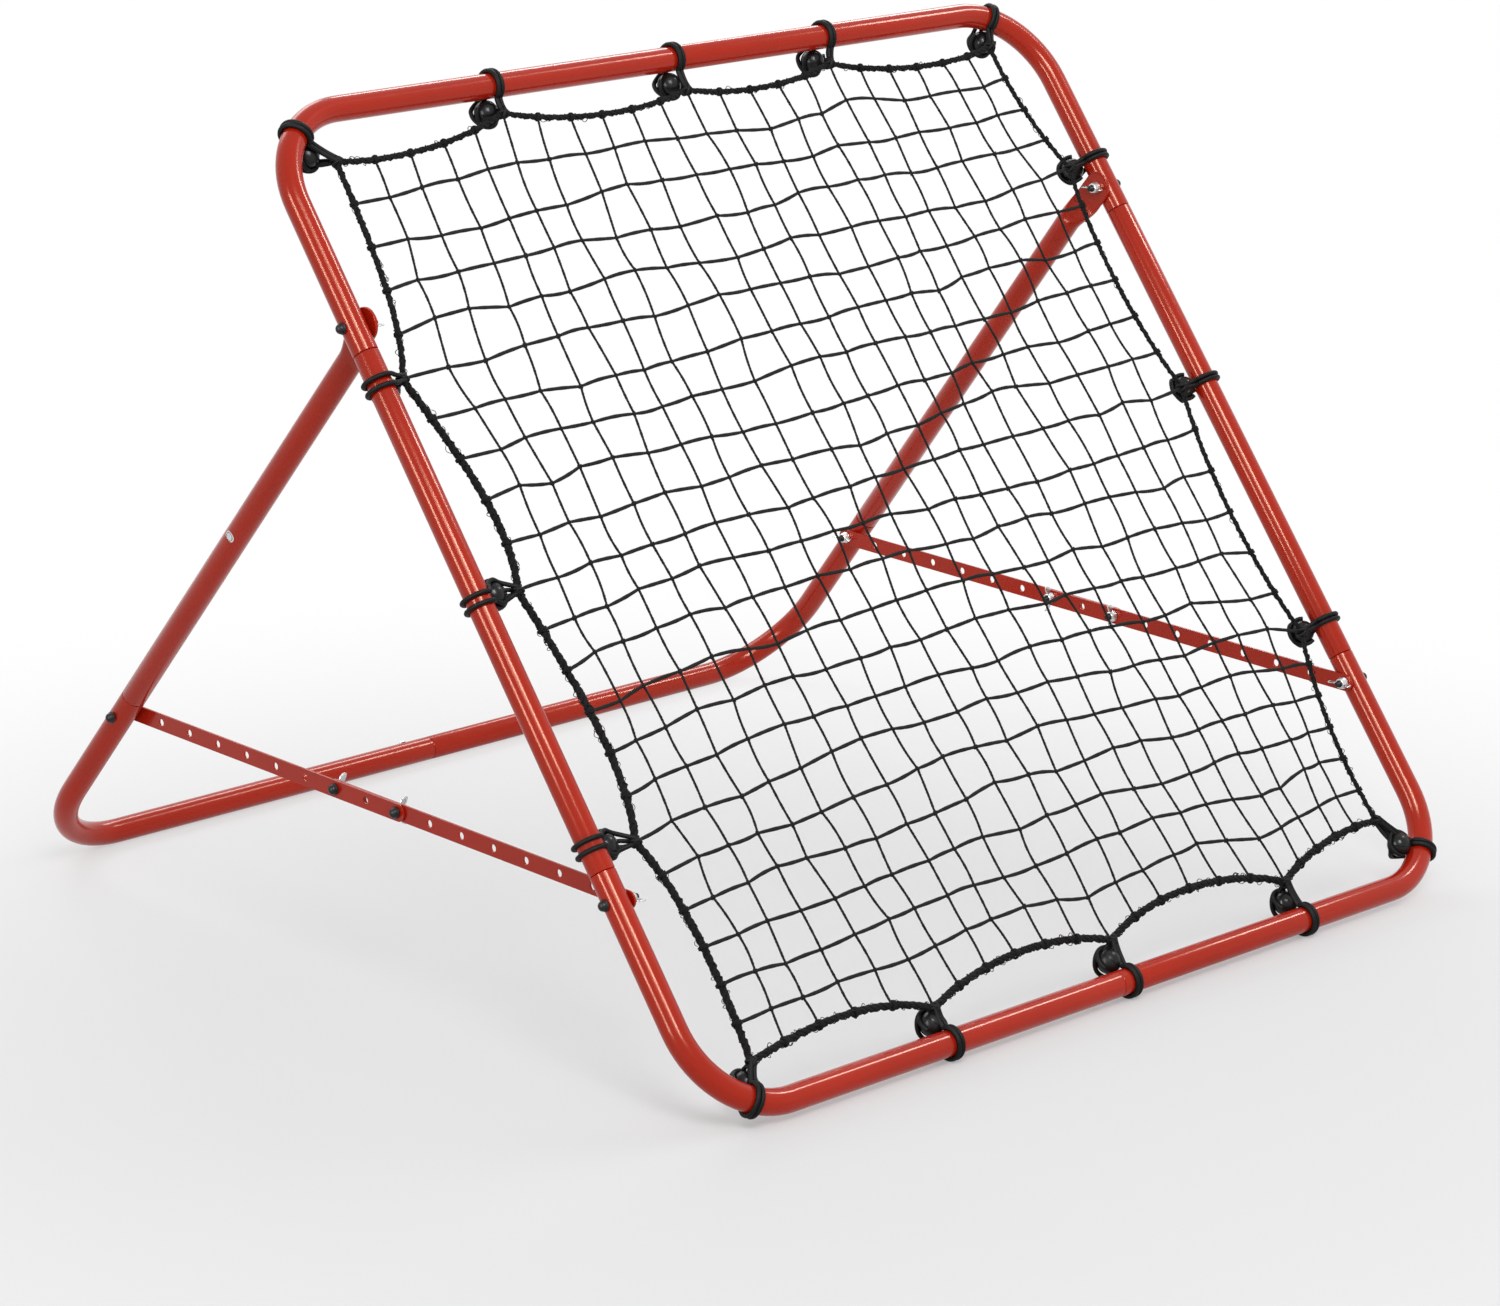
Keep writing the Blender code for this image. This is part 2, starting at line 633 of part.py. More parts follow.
def rail_screws(root, pivot):
    """A small screw through each joint in the middle of a rail, from behind."""
    reach = TUBE_R - BORE_R + SPIGOT_R
    profile = [
        (0, SCREW_HEAD * 0.35), (SCREW_HEAD * 0.3, SCREW_HEAD * 0.3), (SCREW_HEAD / 2, 0),
        (SCREW_DIAMETER / 2, 0), (SCREW_DIAMETER / 2, -reach), (0, -reach),
    ]
    screw = turned(profile, HOLE_SIDES)
    shade(screw)
    joints = (
        ("top", root, RAIL_SEAM - SEAM_TO_BOLT, FRAME_SIZE, -1, "front_corner_top_"),
        ("bottom", root, RAIL_SEAM - SEAM_TO_BOLT, 0, -1, "front_corner_bottom_"),
        ("rear", pivot, -SEAM_TO_BOLT, LEG_LENGTH, 1, "rear_corner_"),
    )
    for what, parent, x, along, way, tube in joints:
        at = (x, along, way * (TUBE_R + CLEARANCE))
        turn = (0, 0, 0) if way > 0 else (math.pi, 0, 0)
        place("rail_screw_" + what, screw, parent, ZINC, at, turn)
        for word in ("left", "right"):
            hole_at = (x, along, way * TUBE_R)
            hole = SCREW_DIAMETER + 2 * CLEARANCE
            piece = bpy.data.objects[tube + word]
            drill(piece, f"{tube}{word}_screw_hole", hole_at, hole, TUBE_DIAMETER, along_x=False)


# ---- net, rope and ties ----

def around_corner(word):
    """The middle of a tie's tube and the way in, on a rounded corner of the frame."""
    angle = math.radians(CORNER_TIES[word])
    middle_x = math.copysign(HALF - BEND_RADIUS, math.cos(angle))
    middle_y = FRAME_SIZE - BEND_RADIUS if math.sin(angle) > 0 else BEND_RADIUS
    out = Vector((math.cos(angle), math.sin(angle)))
    return Vector((middle_x, middle_y)) + out * BEND_RADIUS, -out


def side_ties(word):
    """How far up a side its ties are, from the bottom rail's axis."""
    low = STRUT_FOOT + TIE_ABOVE_STRUT[word]
    high = PIVOT_UP + TIE_ABOVE_PIVOT[word]
    return low, low + (high - low) * TIE_BETWEEN[word], high


def tie_places():
    """Every tie in order round the frame: its name, its tube's axis there, and the way in."""
    places = [("bottom_left", *around_corner("bottom_left"))]
    for number, share in enumerate(BOTTOM_TIES, 1):
        places.append((f"bottom_{number}", Vector((share * HALF, 0)), Vector((0, 1))))
    places.append(("bottom_right", *around_corner("bottom_right")))
    for number, y in enumerate(side_ties("right"), 1):
        places.append((f"right_{number}", Vector((HALF, y)), Vector((-1, 0))))
    places.append(("top_right", *around_corner("top_right")))
    for number, share in reversed(list(enumerate(TOP_TIES, 1))):
        places.append((f"top_{number}", Vector((share * HALF, FRAME_SIZE)), Vector((0, -1))))
    places.append(("top_left", *around_corner("top_left")))
    for number, y in reversed(list(enumerate(side_ties("left"), 1))):
        places.append((f"left_{number}", Vector((-HALF, y)), Vector((1, 0))))
    return places


def rope_out(name):
    """How far from its tube's axis a tie holds the rope."""
    if name.startswith("top_") and name not in CORNER_TIES:
        return TOP_ROPE_OUT
    return ROPE_OUT + LONG_TIES.get(name, 0)


def loop_points(rope, edge):
    """A tie's loop, round the tube at the origin, and round the rope and the net's edge on +X.

    On the bottom rail a flat of the loop stands on the floor.
    """
    down = math.pi * 1.5 - LEAN
    points = []
    for step in range(-4, 2):
        angle = down + (step + 0.5) * LOOP_STEP
        points.append((LOOP_R * math.cos(angle), 0, LOOP_R * math.sin(angle)))
    over_rope = 2 * ROPE_R
    over_edge = TWINE / 2 + CLEARANCE + CORD_R
    in_ball = 0.75 * BALL_R
    far = edge + LOOP_SLACK
    side = [(BALL_OUT, in_ball), (rope, over_rope), (far, over_edge)]
    points += [(x, 0, -z) for x, z in side]
    points.append((far + CORD_R + CLEARANCE, 0, 0))
    points += [(x, 0, z) for x, z in reversed(side)]
    return points


def tie_mesh(rope, edge, band, ball_turn):
    """A ball with its cord loop drawn through it. The net's edge lies this far from the tube."""
    loop = swept(loop_points(rope, edge), CORD_R, 6, closed=True)
    loop.transform(Matrix.Scale(band, 4, (0, 1, 0)))
    shape = bmesh.new()
    at = Matrix.Rotation(ball_turn, 4, "Y") @ Matrix.Translation((BALL_OUT, 0, 0))
    bmesh.ops.create_uvsphere(shape, u_segments=8, v_segments=4, radius=BALL_R, matrix=at)
    ball = bpy.data.meshes.new("ball")
    shape.to_mesh(ball)
    shape.free()
    body = bpy.data.objects.new("tie", ball)
    PARTS.objects.link(body)
    cord = helper("loop", loop)
    join = body.modifiers.new("cord", "BOOLEAN")
    join.object = cord
    join.operation = "UNION"
    join.solver = "EXACT"
    mesh = mesh_of(body)
    bpy.data.objects.remove(cord, do_unlink=True)
    shade(mesh)
    return mesh


def net_edge(middle, inward, half_band, sides):
    """How far in the net reaches from a tie's tube, where the tie's loop goes round it."""
    across = Vector((-inward.y, inward.x))
    furthest = 0.0
    for points in sides:
        for one, two in zip(points, points[1:]):
            for offset in (-half_band, half_band):
                before = (one - middle).dot(across) - offset
                after = (two - middle).dot(across) - offset
                if before * after <= 0 and before != after:
                    depth = (one + (two - one) * before / (before - after) - middle).dot(inward)
                    if depth < BEND_RADIUS:
                        furthest = max(furthest, depth)
    return furthest + TWINE / 2


def ties(root, places, sides):
    for name, middle, inward in places:
        # A side tie has two strands side by side.
        band = 1.0 if name in CORNER_TIES else BAND
        edge = net_edge(middle, inward, CORD_R * band, sides)
        ball_turn = TOP_BALL_TURN if rope_out(name) == TOP_ROPE_OUT else 0
        mesh = tie_mesh(rope_out(name), edge, band, ball_turn)
        turn = (0, 0, math.atan2(inward.y, inward.x))
        place("tie_" + name, mesh, root, CORD, (middle.x, middle.y, 0), turn)


def rope_spans(places):
    """The rope's axis between each tie and the next, as lists of points in the net's plane."""
    knots = [middle + inward * rope_out(name) for name, middle, inward in places]
    spans = []
    for one, two in zip(knots, knots[1:] + knots[:1]):
        way = two - one
        inward = Vector((-way.y, way.x)) * ROPE_SAG
        span = []
        for step in range(SPAN_STEPS + 1):
            share = step / SPAN_STEPS
            span.append(one + way * share + inward * 4 * share * (1 - share))
        spans.append(span)
    return spans


def border_rope(root, spans):
    points = [(p.x, p.y, 0) for span in spans for p in span[:-1]]
    mesh = swept(points, ROPE_R, 6, closed=True)
    shade(mesh)
    place("border_rope", mesh, root, CORD)


def side_lines(spans):
    """The ends of the net's lines on one side: the rope's points at even distances.

    A line that would meet a tie stands off it.
    """
    route = [point for span in spans for point in span[:-1]] + [spans[-1][-1]]
    reached = [0.0]
    for one, two in zip(route, route[1:]):
        reached.append(reached[-1] + (two - one).length)
    tie_marks = [reached[number * SPAN_STEPS] for number in range(1, len(spans))]
    points = []
    for line in range(CELLS + 1):
        mark = reached[-1] * line / CELLS
        for tie_mark in tie_marks:
            if abs(mark - tie_mark) < LINE_TO_TIE:
                mark = tie_mark + math.copysign(LINE_TO_TIE, mark - tie_mark)
        part = 0
        while part < len(route) - 2 and reached[part + 1] < mark:
            part += 1
        way = route[part + 1] - route[part]
        point = route[part] + way * (mark - reached[part]) / way.length
        points.append(point + Vector((-way.y, way.x)).normalized() * EDGE_IN)
    return points


def net_corner(places, word):
    for name, middle, inward in places:
        if name == word:
            return middle + inward * (rope_out(name) + EDGE_IN * math.sqrt(2))
    return None


def net_sides(places, spans):
    """The ends of the net's lines on its bottom, right, top and left side, in order round it."""
    words = list(CORNER_TIES)
    per_side = len(spans) // len(words)
    sides = []
    for side, (one, two) in enumerate(zip(words, words[1:] + words[:1])):
        points = side_lines(spans[side * per_side:(side + 1) * per_side])
        points[0] = net_corner(places, one)
        points[-1] = net_corner(places, two)
        sides.append(points)
    return sides


def net(root, sides):
    """A flat square net inside the rope, its lines drawn between opposite sides."""
    bottom, right = sides[:2]
    top, left = [points[::-1] for points in sides[2:]]
    shape = bmesh.new()
    bmesh.ops.create_grid(shape, x_segments=CELLS, y_segments=CELLS, size=CELLS / 2)
    for vertex in shape.verts:
        i = round(vertex.co.x + CELLS / 2)
        j = round(vertex.co.y + CELLS / 2)
        u, v = i / CELLS, j / CELLS
        across = left[j] * (1 - u) + right[j] * u
        upward = bottom[i] * (1 - v) + top[i] * v
        low = bottom[0] * (1 - u) + bottom[-1] * u
        high = top[0] * (1 - u) + top[-1] * u
        point = across + upward - (low * (1 - v) + high * v)
        vertex.co = (point.x, point.y, 0)
    gaps = list(shape.faces)
    bmesh.ops.inset_individual(shape, faces=gaps, thickness=TWINE / 2, use_even_offset=True)
    bmesh.ops.delete(shape, geom=gaps, context="FACES")
    mesh = bpy.data.meshes.new("net")
    shape.to_mesh(mesh)
    shape.free()
    obj = place("net", mesh, root, TWINE_BLACK)
    thick = obj.modifiers.new("twine", "SOLIDIFY")
    thick.thickness = TWINE
    thick.offset = 0


def main():
    root = axis_empty("front_frame_axis", (0, FRONT_Y, FRONT_RAIL_Z), LEAN)
    pivot = axis_empty("fold_axis", (0, PIVOT_UP, 0), math.pi + APEX, root)
    front_tubes(root)
    rear_tubes(pivot)
    axes = struts(root, pivot)
    fasteners(root, pivot, axes)
    rail_screws(root, pivot)
    places = tie_places()
    spans = rope_spans(places)
    sides = net_sides(places, spans)
    ties(root, places, sides)
    border_rope(root, spans)
    net(root, sides)


clear_scene()
PARTS = collection("pitch_back_rebounder")
CUTTERS = collection("cutters", is_helper=True)
main()
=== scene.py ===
"""Looks for the pitch back rebounder: finer tubes, bars and fasteners, a knotted net, its
roped edge and its ball ties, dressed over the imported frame. Units are metres.

Pieces of the front frame are made in its own frame, x across, y up the frame from the bottom
rail's axis and z out of it towards the thrower's side, and are then set upright by FRONT.
"""

import json
import math
import random
from math import cos, pi, radians, sin

import bmesh
import bpy
import numpy as np
from mathutils import Matrix, Vector


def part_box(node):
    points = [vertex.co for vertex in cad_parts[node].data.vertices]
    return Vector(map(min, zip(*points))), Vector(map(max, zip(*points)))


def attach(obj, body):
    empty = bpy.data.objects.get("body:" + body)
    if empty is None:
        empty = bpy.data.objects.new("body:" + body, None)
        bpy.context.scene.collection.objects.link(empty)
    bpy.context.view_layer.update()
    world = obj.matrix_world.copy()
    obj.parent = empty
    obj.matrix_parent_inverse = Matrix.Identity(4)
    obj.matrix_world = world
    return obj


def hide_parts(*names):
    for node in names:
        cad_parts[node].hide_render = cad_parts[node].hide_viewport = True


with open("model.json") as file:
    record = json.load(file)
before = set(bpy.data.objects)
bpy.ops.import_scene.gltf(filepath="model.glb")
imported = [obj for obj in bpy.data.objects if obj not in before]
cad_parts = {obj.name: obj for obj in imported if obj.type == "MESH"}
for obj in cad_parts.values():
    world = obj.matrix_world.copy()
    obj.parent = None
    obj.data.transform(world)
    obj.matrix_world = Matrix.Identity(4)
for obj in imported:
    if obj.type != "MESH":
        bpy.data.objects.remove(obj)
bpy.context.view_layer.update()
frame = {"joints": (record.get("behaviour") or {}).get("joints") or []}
JOINTS = {joint["name"]: Vector(joint["pos_m"]) for joint in frame["joints"]}

# The part's sizes.
FRAME_SIZE = 0.976  # between the axes of opposite tubes of the front frame
HALF = FRAME_SIZE / 2
CLEARANCE = 0.0003
TUBE_R = 0.012
INNER_R = 0.0102
TUBE_SIDES = 36
BEND_RADIUS = 0.086
REAR_BEND_RADIUS = 0.097
PIVOT_UP = 0.767  # from the bottom rail to the fold pivot, along the frame
FRONT_FOOT = -0.4755  # where the two rails rest on the floor
REAR_FOOT = 0.4813
LEG_LENGTH = 0.7785
ARM = 0.560  # from the fold pivot to each end bolt of a strut
STRUT_FOOT = PIVOT_UP - ARM
SEAM_TO_BOLT = 0.027
RAIL_SEAM = 0.010  # the seams of the front rails lie this far right of the middle
# The ends of the tubes, as (depth into the tube, radius): an open mouth with a rounded lip,
# and a reduced end that goes into a mouth.
MOUTH = (
    (0.006, INNER_R), (0.0004, INNER_R), (0.00005, INNER_R + 0.0003),
    (0.00002, TUBE_R - 0.0004), (0.0004, TUBE_R),
)
SWAGE = (
    (0.0016, TUBE_R), (0.0010, TUBE_R - 0.0002), (0.0006, TUBE_R - 0.0007),
    (0.0003, INNER_R - CLEARANCE), (-0.012, INNER_R - CLEARANCE),
)
EYE_RADIUS = 0.0155  # of the flattened end of a leg
EYE_THICKNESS = 0.0032
EYE_FLAT = 0.018  # the leg is flat this far below the pivot
EYE_ROUND = 0.050  # and round from here on
LEG_AT_PIVOT = HALF - 2 * TUBE_R - CLEARANCE
LEG_AT_STRUT = 0.4909
FRONT_BAR = 0.4747  # the middles of the bars of a strut, from the middle of the frame
REAR_BAR = 0.4770
HOLE_PITCH = 0.0434
HOLE_R = 0.0035
BAR_HOLES = 10
BAR_WIDTH = 0.0165
BAR_END = 0.0103  # from the last hole to the end of a bar
BAR_THICKNESS = 0.002
BOLT_R = 0.003
BALL_OUT = 0.0238  # from a tube's axis to a ball
BALL_R = 0.0115
CORD_R = 0.0022
ROPE_STEP = 0.0022  # between two rings of the border rope
TOP_TIES = (-0.2152, 0.0122, 0.2118)
BOTTOM_TIES = (-0.2069, 0.0259, 0.2733)
LEFT_TIES = (0.256, 0.4933, 0.708)
RIGHT_TIES = (0.271, 0.5418, 0.798)
CORNER_TIES = {"bottom_left": 241, "bottom_right": 316, "top_right": 63, "top_left": 130}
CELLS = 22  # of the net, along each side
SIDES = ((-1, "left"), (1, "right"))

# The joints fix the planes of both frames.
PIVOT = JOINTS["fold"]
LEAN = math.atan2(
    PIVOT.z - JOINTS["strut_front_left"].z, PIVOT.y - JOINTS["strut_front_left"].y
)
SLOPE = math.atan2(
    JOINTS["strut_rear_left"].z - PIVOT.z, JOINTS["strut_rear_left"].y - PIVOT.y
)
FRONT = Matrix.Translation((0, PIVOT.y, PIVOT.z)) @ Matrix.Rotation(LEAN, 4, "X")
FRONT = FRONT @ Matrix.Translation((0, -PIVOT_UP, 0))
REAR = Matrix.Translation((0, PIVOT.y, PIVOT.z)) @ Matrix.Rotation(SLOPE, 4, "X")
chance = random.Random(7)


# ---- materials ----

def new_material(name):
    made = bpy.data.materials.new(name)
    made.use_nodes = True
    return made, made.node_tree, made.node_tree.nodes["Principled BSDF"]


def put(node, values):
    """Sets inputs of a node by their names, each to a value or as a link from a socket."""
    for name, value in values.items():
        if isinstance(value, bpy.types.NodeSocket):
            node.id_data.links.new(value, node.inputs[name])
        else:
            node.inputs[name].default_value = value


def added(tree, kind, values, output=0):
    """One output of a new node."""
    made = tree.nodes.new("ShaderNode" + kind)
    put(made, values)
    return made.outputs[output]


def texture(tree, kind, scale, detail=3.0):
    """A noise or cell texture in the object's own coordinates."""
    place = added(tree, "TexCoord", {}, "Object")
    return added(tree, "Tex" + kind, {"Scale": scale, "Detail": detail, "Vector": place})


def ramp(tree, source, stops):
    """A colour by the texture, through stops of (place, (red, green, blue))."""
    made = added(tree, "ValToRGB", {"Fac": source})
    elements = made.node.color_ramp.elements
    for element, (place, color) in zip((elements[0], elements[1]), (stops[0], stops[-1])):
        element.position = place
        element.color = (*color, 1)
    for place, color in stops[1:-1]:
        elements.new(place).color = (*color, 1)
    return made


def bumps(tree, shader, sources):
    """Bumps one on another: each source is (socket, strength, distance)."""
    normal = {}
    for socket, strength, distance in sources:
        values = {"Strength": strength, "Distance": distance, "Height": socket, **normal}
        normal = {"Normal": added(tree, "Bump", values)}
    put(shader, normal)


def spread(tree, source, low, high):
    """A value from low to high by the texture."""
    values = {"From Min": 0.3, "From Max": 0.7, "To Min": low, "To Max": high, "Value": source}
    return added(tree, "MapRange", values)


def mottled(name, mottle, stops, gloss=None, scuffs=None, grain=None, inputs=()):
    """Paint, plastic or metal with a faint mottle in its colour and gloss.

    Textures are (scale, detail). The roughness runs over gloss by the scuffs, or else by the
    mottle. grain is (bump strength, texture), or (bump strength,) for the mottle's own bumps.
    """
    made, tree, shader = new_material(name)
    broad = texture(tree, "Noise", *mottle)
    put(shader, {**dict(inputs), "Base Color": ramp(tree, broad, stops)})
    if gloss:
        source = texture(tree, "Noise", *scuffs) if scuffs else broad
        put(shader, {"Roughness": spread(tree, source, *gloss)})
    if grain:
        source = texture(tree, "Noise", *grain[1]) if grain[1:] else broad
        bumps(tree, shader, [(source, grain[0], 0.0002)])
    return made


def fibre(name, dark, light, weave, roughness, sheen):
    """Black fibre: a fine weave in colour and bump, with painted shade in the gaps between the
    yarns.
    """
    made, tree, shader = new_material(name)
    yarn = texture(tree, "Voronoi", weave)
    fuzz = texture(tree, "Noise", weave * 2.6, 4.0)
    broad = texture(tree, "Noise", 26.0, 3.0)
    mix = tree.nodes.new("ShaderNodeMix")
    mix.data_type = "RGBA"
    mix.blend_type = "MULTIPLY"
    # The weave multiplies the colour darker away from each yarn's middle: painted shade in the gaps
    # between the yarns.
    put(mix, {
        "Factor": 0.8, "A": ramp(tree, broad, [(0.3, dark), (0.7, light)]),
        "B": ramp(tree, yarn, [(0.0, (1.0, 1.0, 1.0)), (0.55, (0.35, 0.35, 0.36))]),
    })
    put(shader, {
        "Base Color": mix.outputs["Result"], "Roughness": roughness, "Sheen Weight": sheen,
        "Sheen Roughness": 0.45, "Specular IOR Level": 0.15,
    })
    bumps(tree, shader, [(yarn, -0.5, 0.0004), (fuzz, 0.35, 0.0003)])
    return made


RED = mottled(
    "red_paint", (7.0, 4.0), [
        (0.30, (0.365, 0.0115, 0.0030)), (0.55, (0.400, 0.0130, 0.0034)),
        (0.80, (0.435, 0.0155, 0.0040)),
    ], (0.16, 0.20), scuffs=(46.0, 5.0),
    inputs={"Specular IOR Level": 0.40, "Specular Tint": (1.0, 0.68, 0.52, 1)},
)
BUNGEE = fibre("bungee_cord", (0.007, 0.007, 0.0075), (0.015, 0.015, 0.016), 1500.0, 0.55, 0.0)
ROPE = fibre("border_yarn", (0.008, 0.0078, 0.0074), (0.020, 0.019, 0.018), 1100.0, 0.85, 0.03)
TWINE = fibre("net_twine", (0.014, 0.0135, 0.0125), (0.026, 0.025, 0.023), 1300.0, 0.80, 0.03)
BALL = mottled(
    "ball_plastic", (60.0, 4.0), [(0.35, (0.008, 0.008, 0.0085)), (0.75, (0.015, 0.015, 0.0155))],
    (0.20, 0.34), grain=(0.12, (800.0, 2.0)), inputs={"Specular IOR Level": 0.22},
)
BLACK = mottled(
    "black_steel", (220.0, 3.0), [(0.3, (0.008, 0.008, 0.0085)), (0.8, (0.017, 0.017, 0.018))],
    (0.30, 0.48), grain=(0.1,), inputs={"Specular IOR Level": 0.25},
)
ZINC = mottled(
    "zinc_plate", (160.0, 4.0), [(0.3, (0.52, 0.53, 0.54)), (0.7, (0.74, 0.74, 0.72))],
    (0.22, 0.42), grain=(0.15, (700.0, 2.0)), inputs={"Metallic": 1.0},
)


# ---- making pieces ----

def placed(name, data):
    obj = bpy.data.objects.new(name, data)
    bpy.context.scene.collection.objects.link(obj)
    return obj


def finished(name, mesh, material, body, replaces=(), smooth=40):
    """A piece that rides on a body, shaded smooth but for its sharp edges."""
    mesh.materials.append(material)
    mesh.shade_smooth()
    mesh.set_sharp_from_angle(angle=radians(smooth))
    obj = placed(name, mesh)
    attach(obj, body)
    if replaces:
        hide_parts(*replaces)


def dressed(name, mesh, material, body, smooth=40):
    """A piece that takes the place of the CAD part of its name."""
    finished("look_" + name, mesh, material, body, [name], smooth)


def evaluated(obj):
    """The mesh of an object after its modifiers. The object goes."""
    bpy.context.view_layer.update()
    graph = bpy.context.evaluated_depsgraph_get()
    mesh = bpy.data.meshes.new_from_object(obj.evaluated_get(graph))
    bpy.data.objects.remove(obj, do_unlink=True)
    return mesh


def without(mesh, cutter):
    """A mesh less another."""
    obj, other = placed("making", mesh), placed("cutter", cutter)
    made = obj.modifiers.new("cut", "BOOLEAN")
    made.object = other
    made.operation = "DIFFERENCE"
    made.solver = "EXACT"
    result = evaluated(obj)
    bpy.data.objects.remove(other, do_unlink=True)
    return result


def circle(steps, shift=0):
    """The angles of even steps all round."""
    return [2 * pi * (step + shift) / steps for step in range(steps)]


def row_faces(count, sides, closed=False, capped=True):
    """Faces of a skin over rows of vertices, and its ends."""
    faces = []
    for row in range(count if closed else count - 1):
        one, two = row * sides, (row + 1) % count * sides
        for step in range(sides):
            right = (step + 1) % sides
            faces.append((one + step, one + right, two + right, two + step))
    if capped and not closed:
        faces.append(tuple(range(sides))[::-1])
        faces.append(tuple(range((count - 1) * sides, count * sides)))
    return faces


def strung(rings, sides, closed=False, flat=False):
    """Vertices and faces of a skin over rings, each (center, radius or (radius, radius), spin).

    A flat one keeps the first radius in the plane of x and y.
    """
    centers = np.array([tuple(ring[0]) for ring in rings], float)
    if closed:
        tangents = np.roll(centers, -1, 0) - np.roll(centers, 1, 0)
    else:
        tangents = np.gradient(centers, axis=0)
    tangents /= np.linalg.norm(tangents, axis=1)[:, None] + 1e-12
    side = np.cross(tangents[0], (0, 0, 1) if flat else (0.13, 0.21, 0.97))
    side /= np.linalg.norm(side)
    verts = []
    for center, tangent, ring in zip(centers, tangents, rings):
        side = side - tangent * (side @ tangent)
        side /= np.linalg.norm(side)
        other = np.cross(tangent, side)
        wide, high = ring[1] if isinstance(ring[1], tuple) else (ring[1], ring[1])
        spin = ring[2] if len(ring) > 2 else 0.0
        a = side * cos(spin) + other * sin(spin)
        b = other * cos(spin) - side * sin(spin)
        for angle in circle(sides):
            verts.append(center + a * (wide * cos(angle)) + b * (high * sin(angle)))
    return verts, row_faces(len(rings), sides, closed)


class Skins:
    """Gathers many skins into one mesh."""

    def __init__(self):
        self.verts = []
        self.faces = []

    def add(self, verts, faces):
        start = len(self.verts)
        self.verts.extend(tuple(v) for v in verts)
        self.faces.extend(tuple(i + start for i in face) for face in faces)

    def mesh(self, name, matrix):
        mesh = bpy.data.meshes.new(name)
        mesh.from_pydata(self.verts, [], self.faces)
        mesh.transform(matrix)
        shape = bmesh.new()
        shape.from_mesh(mesh)
        bmesh.ops.recalc_face_normals(shape, faces=shape.faces)
        shape.to_mesh(mesh)
        shape.free()
        return mesh


def turned(profile, steps):
    """A turned mesh about Z through (radius, height) points that start and end on the axis."""
    points, rows, faces = [], [], []
    for radius, height in profile:
        row = []
        for step in range(1 if radius < 1e-7 else steps):
            angle = 2 * pi * step / steps
            row.append(len(points))
            points.append((radius * cos(angle), radius * sin(angle), height))
        rows.append(row)
    for one, two in zip(rows, rows[1:]):
        for step in range(steps):
            after = (step + 1) % steps
            a, b = one[step % len(one)], one[after % len(one)]
            c, d = two[after % len(two)], two[step % len(two)]
            faces.append(tuple(dict.fromkeys((a, b, c, d))))
    return points, [face for face in faces if len(face) > 2]


def turned_mesh(name, profile, steps, matrix):
    skins = Skins()
    skins.add(*turned(profile, steps))
    return skins.mesh(name, matrix)


# ---- tubes ----

def bend_points(start, corner, end, radius, steps=20):
    """Points round a bend of the way from start over corner to end."""
    one, two = (start - corner).normalized(), (end - corner).normalized()
    half = one.angle(two) / 2
    middle = corner + (one + two).normalized() * radius / sin(half)
    first = (corner + one * radius / math.tan(half)) - middle
    last = (corner + two * radius / math.tan(half)) - middle
    sweep = first.angle(last)
    points = []
    for step in range(steps + 1):
        share = step / steps
        arm = first * sin((1 - share) * sweep) + last * sin(share * sweep)
        points.append(middle + arm / sin(sweep))
    return points


def end_rings(end, inward, shape):
    """Rings of a tube's end. inward points into the tube."""
    end, inward = Vector(end), Vector(inward).normalized()
    return [(end + inward * depth, radius) for depth, radius in shape]


def tube(name, rings, matrix, body):
    skins = Skins()
    skins.add(*strung(rings, TUBE_SIDES))
    dressed(name, skins.mesh(name, matrix), RED, body)


def rail_corner(name, start, corner, end, reduced, matrix, body):
    """A bent tube from an open mouth at start to a reduced end, or another mouth."""
    start, corner, end = Vector(start), Vector(corner), Vector(end)
    radius = BEND_RADIUS if body == "front_frame" else REAR_BEND_RADIUS
    rings = end_rings(start, corner - start, MOUTH)
    rings += [(point, TUBE_R) for point in bend_points(start, corner, end, radius)]
    rings += end_rings(end, corner - end, SWAGE if reduced else MOUTH[::-1])
    tube(name, rings, matrix, body)


def front_tubes():
    low, high = STRUT_FOOT + SEAM_TO_BOLT, PIVOT_UP - SEAM_TO_BOLT
    for side, word in SIDES:
        x = side * HALF
        for end, seam, y in (("top", high, FRAME_SIZE), ("bottom", low, 0)):
            rail_corner(
                f"front_corner_{end}_{word}", (x, seam, 0), (x, y, 0), (RAIL_SEAM, y, 0),
                side > 0, FRONT, "front_frame",
            )
        rings = end_rings((x, low, 0), (0, 1, 0), SWAGE[::-1])
        rings += end_rings((x, high, 0), (0, -1, 0), SWAGE)
        tube("front_side_" + word, rings, FRONT, "front_frame")


def leg_x(side, along):
    """How far out a leg's axis is at a distance from the pivot."""
    return side * (LEG_AT_PIVOT + (LEG_AT_STRUT - LEG_AT_PIVOT) * along / ARM)


def squared(value, power):
    """A sine or cosine that turns a circle to a rounded square as the power falls."""
    return math.copysign(abs(value) ** power, value)


def leg_ring(center, width, height, square):
    verts = []
    for angle in circle(TUBE_SIDES, 0.5):
        across = squared(cos(angle), square) * height
        verts.append((
            center[0] + across, center[1], center[2] + squared(sin(angle), square) * width,
        ))
    return verts


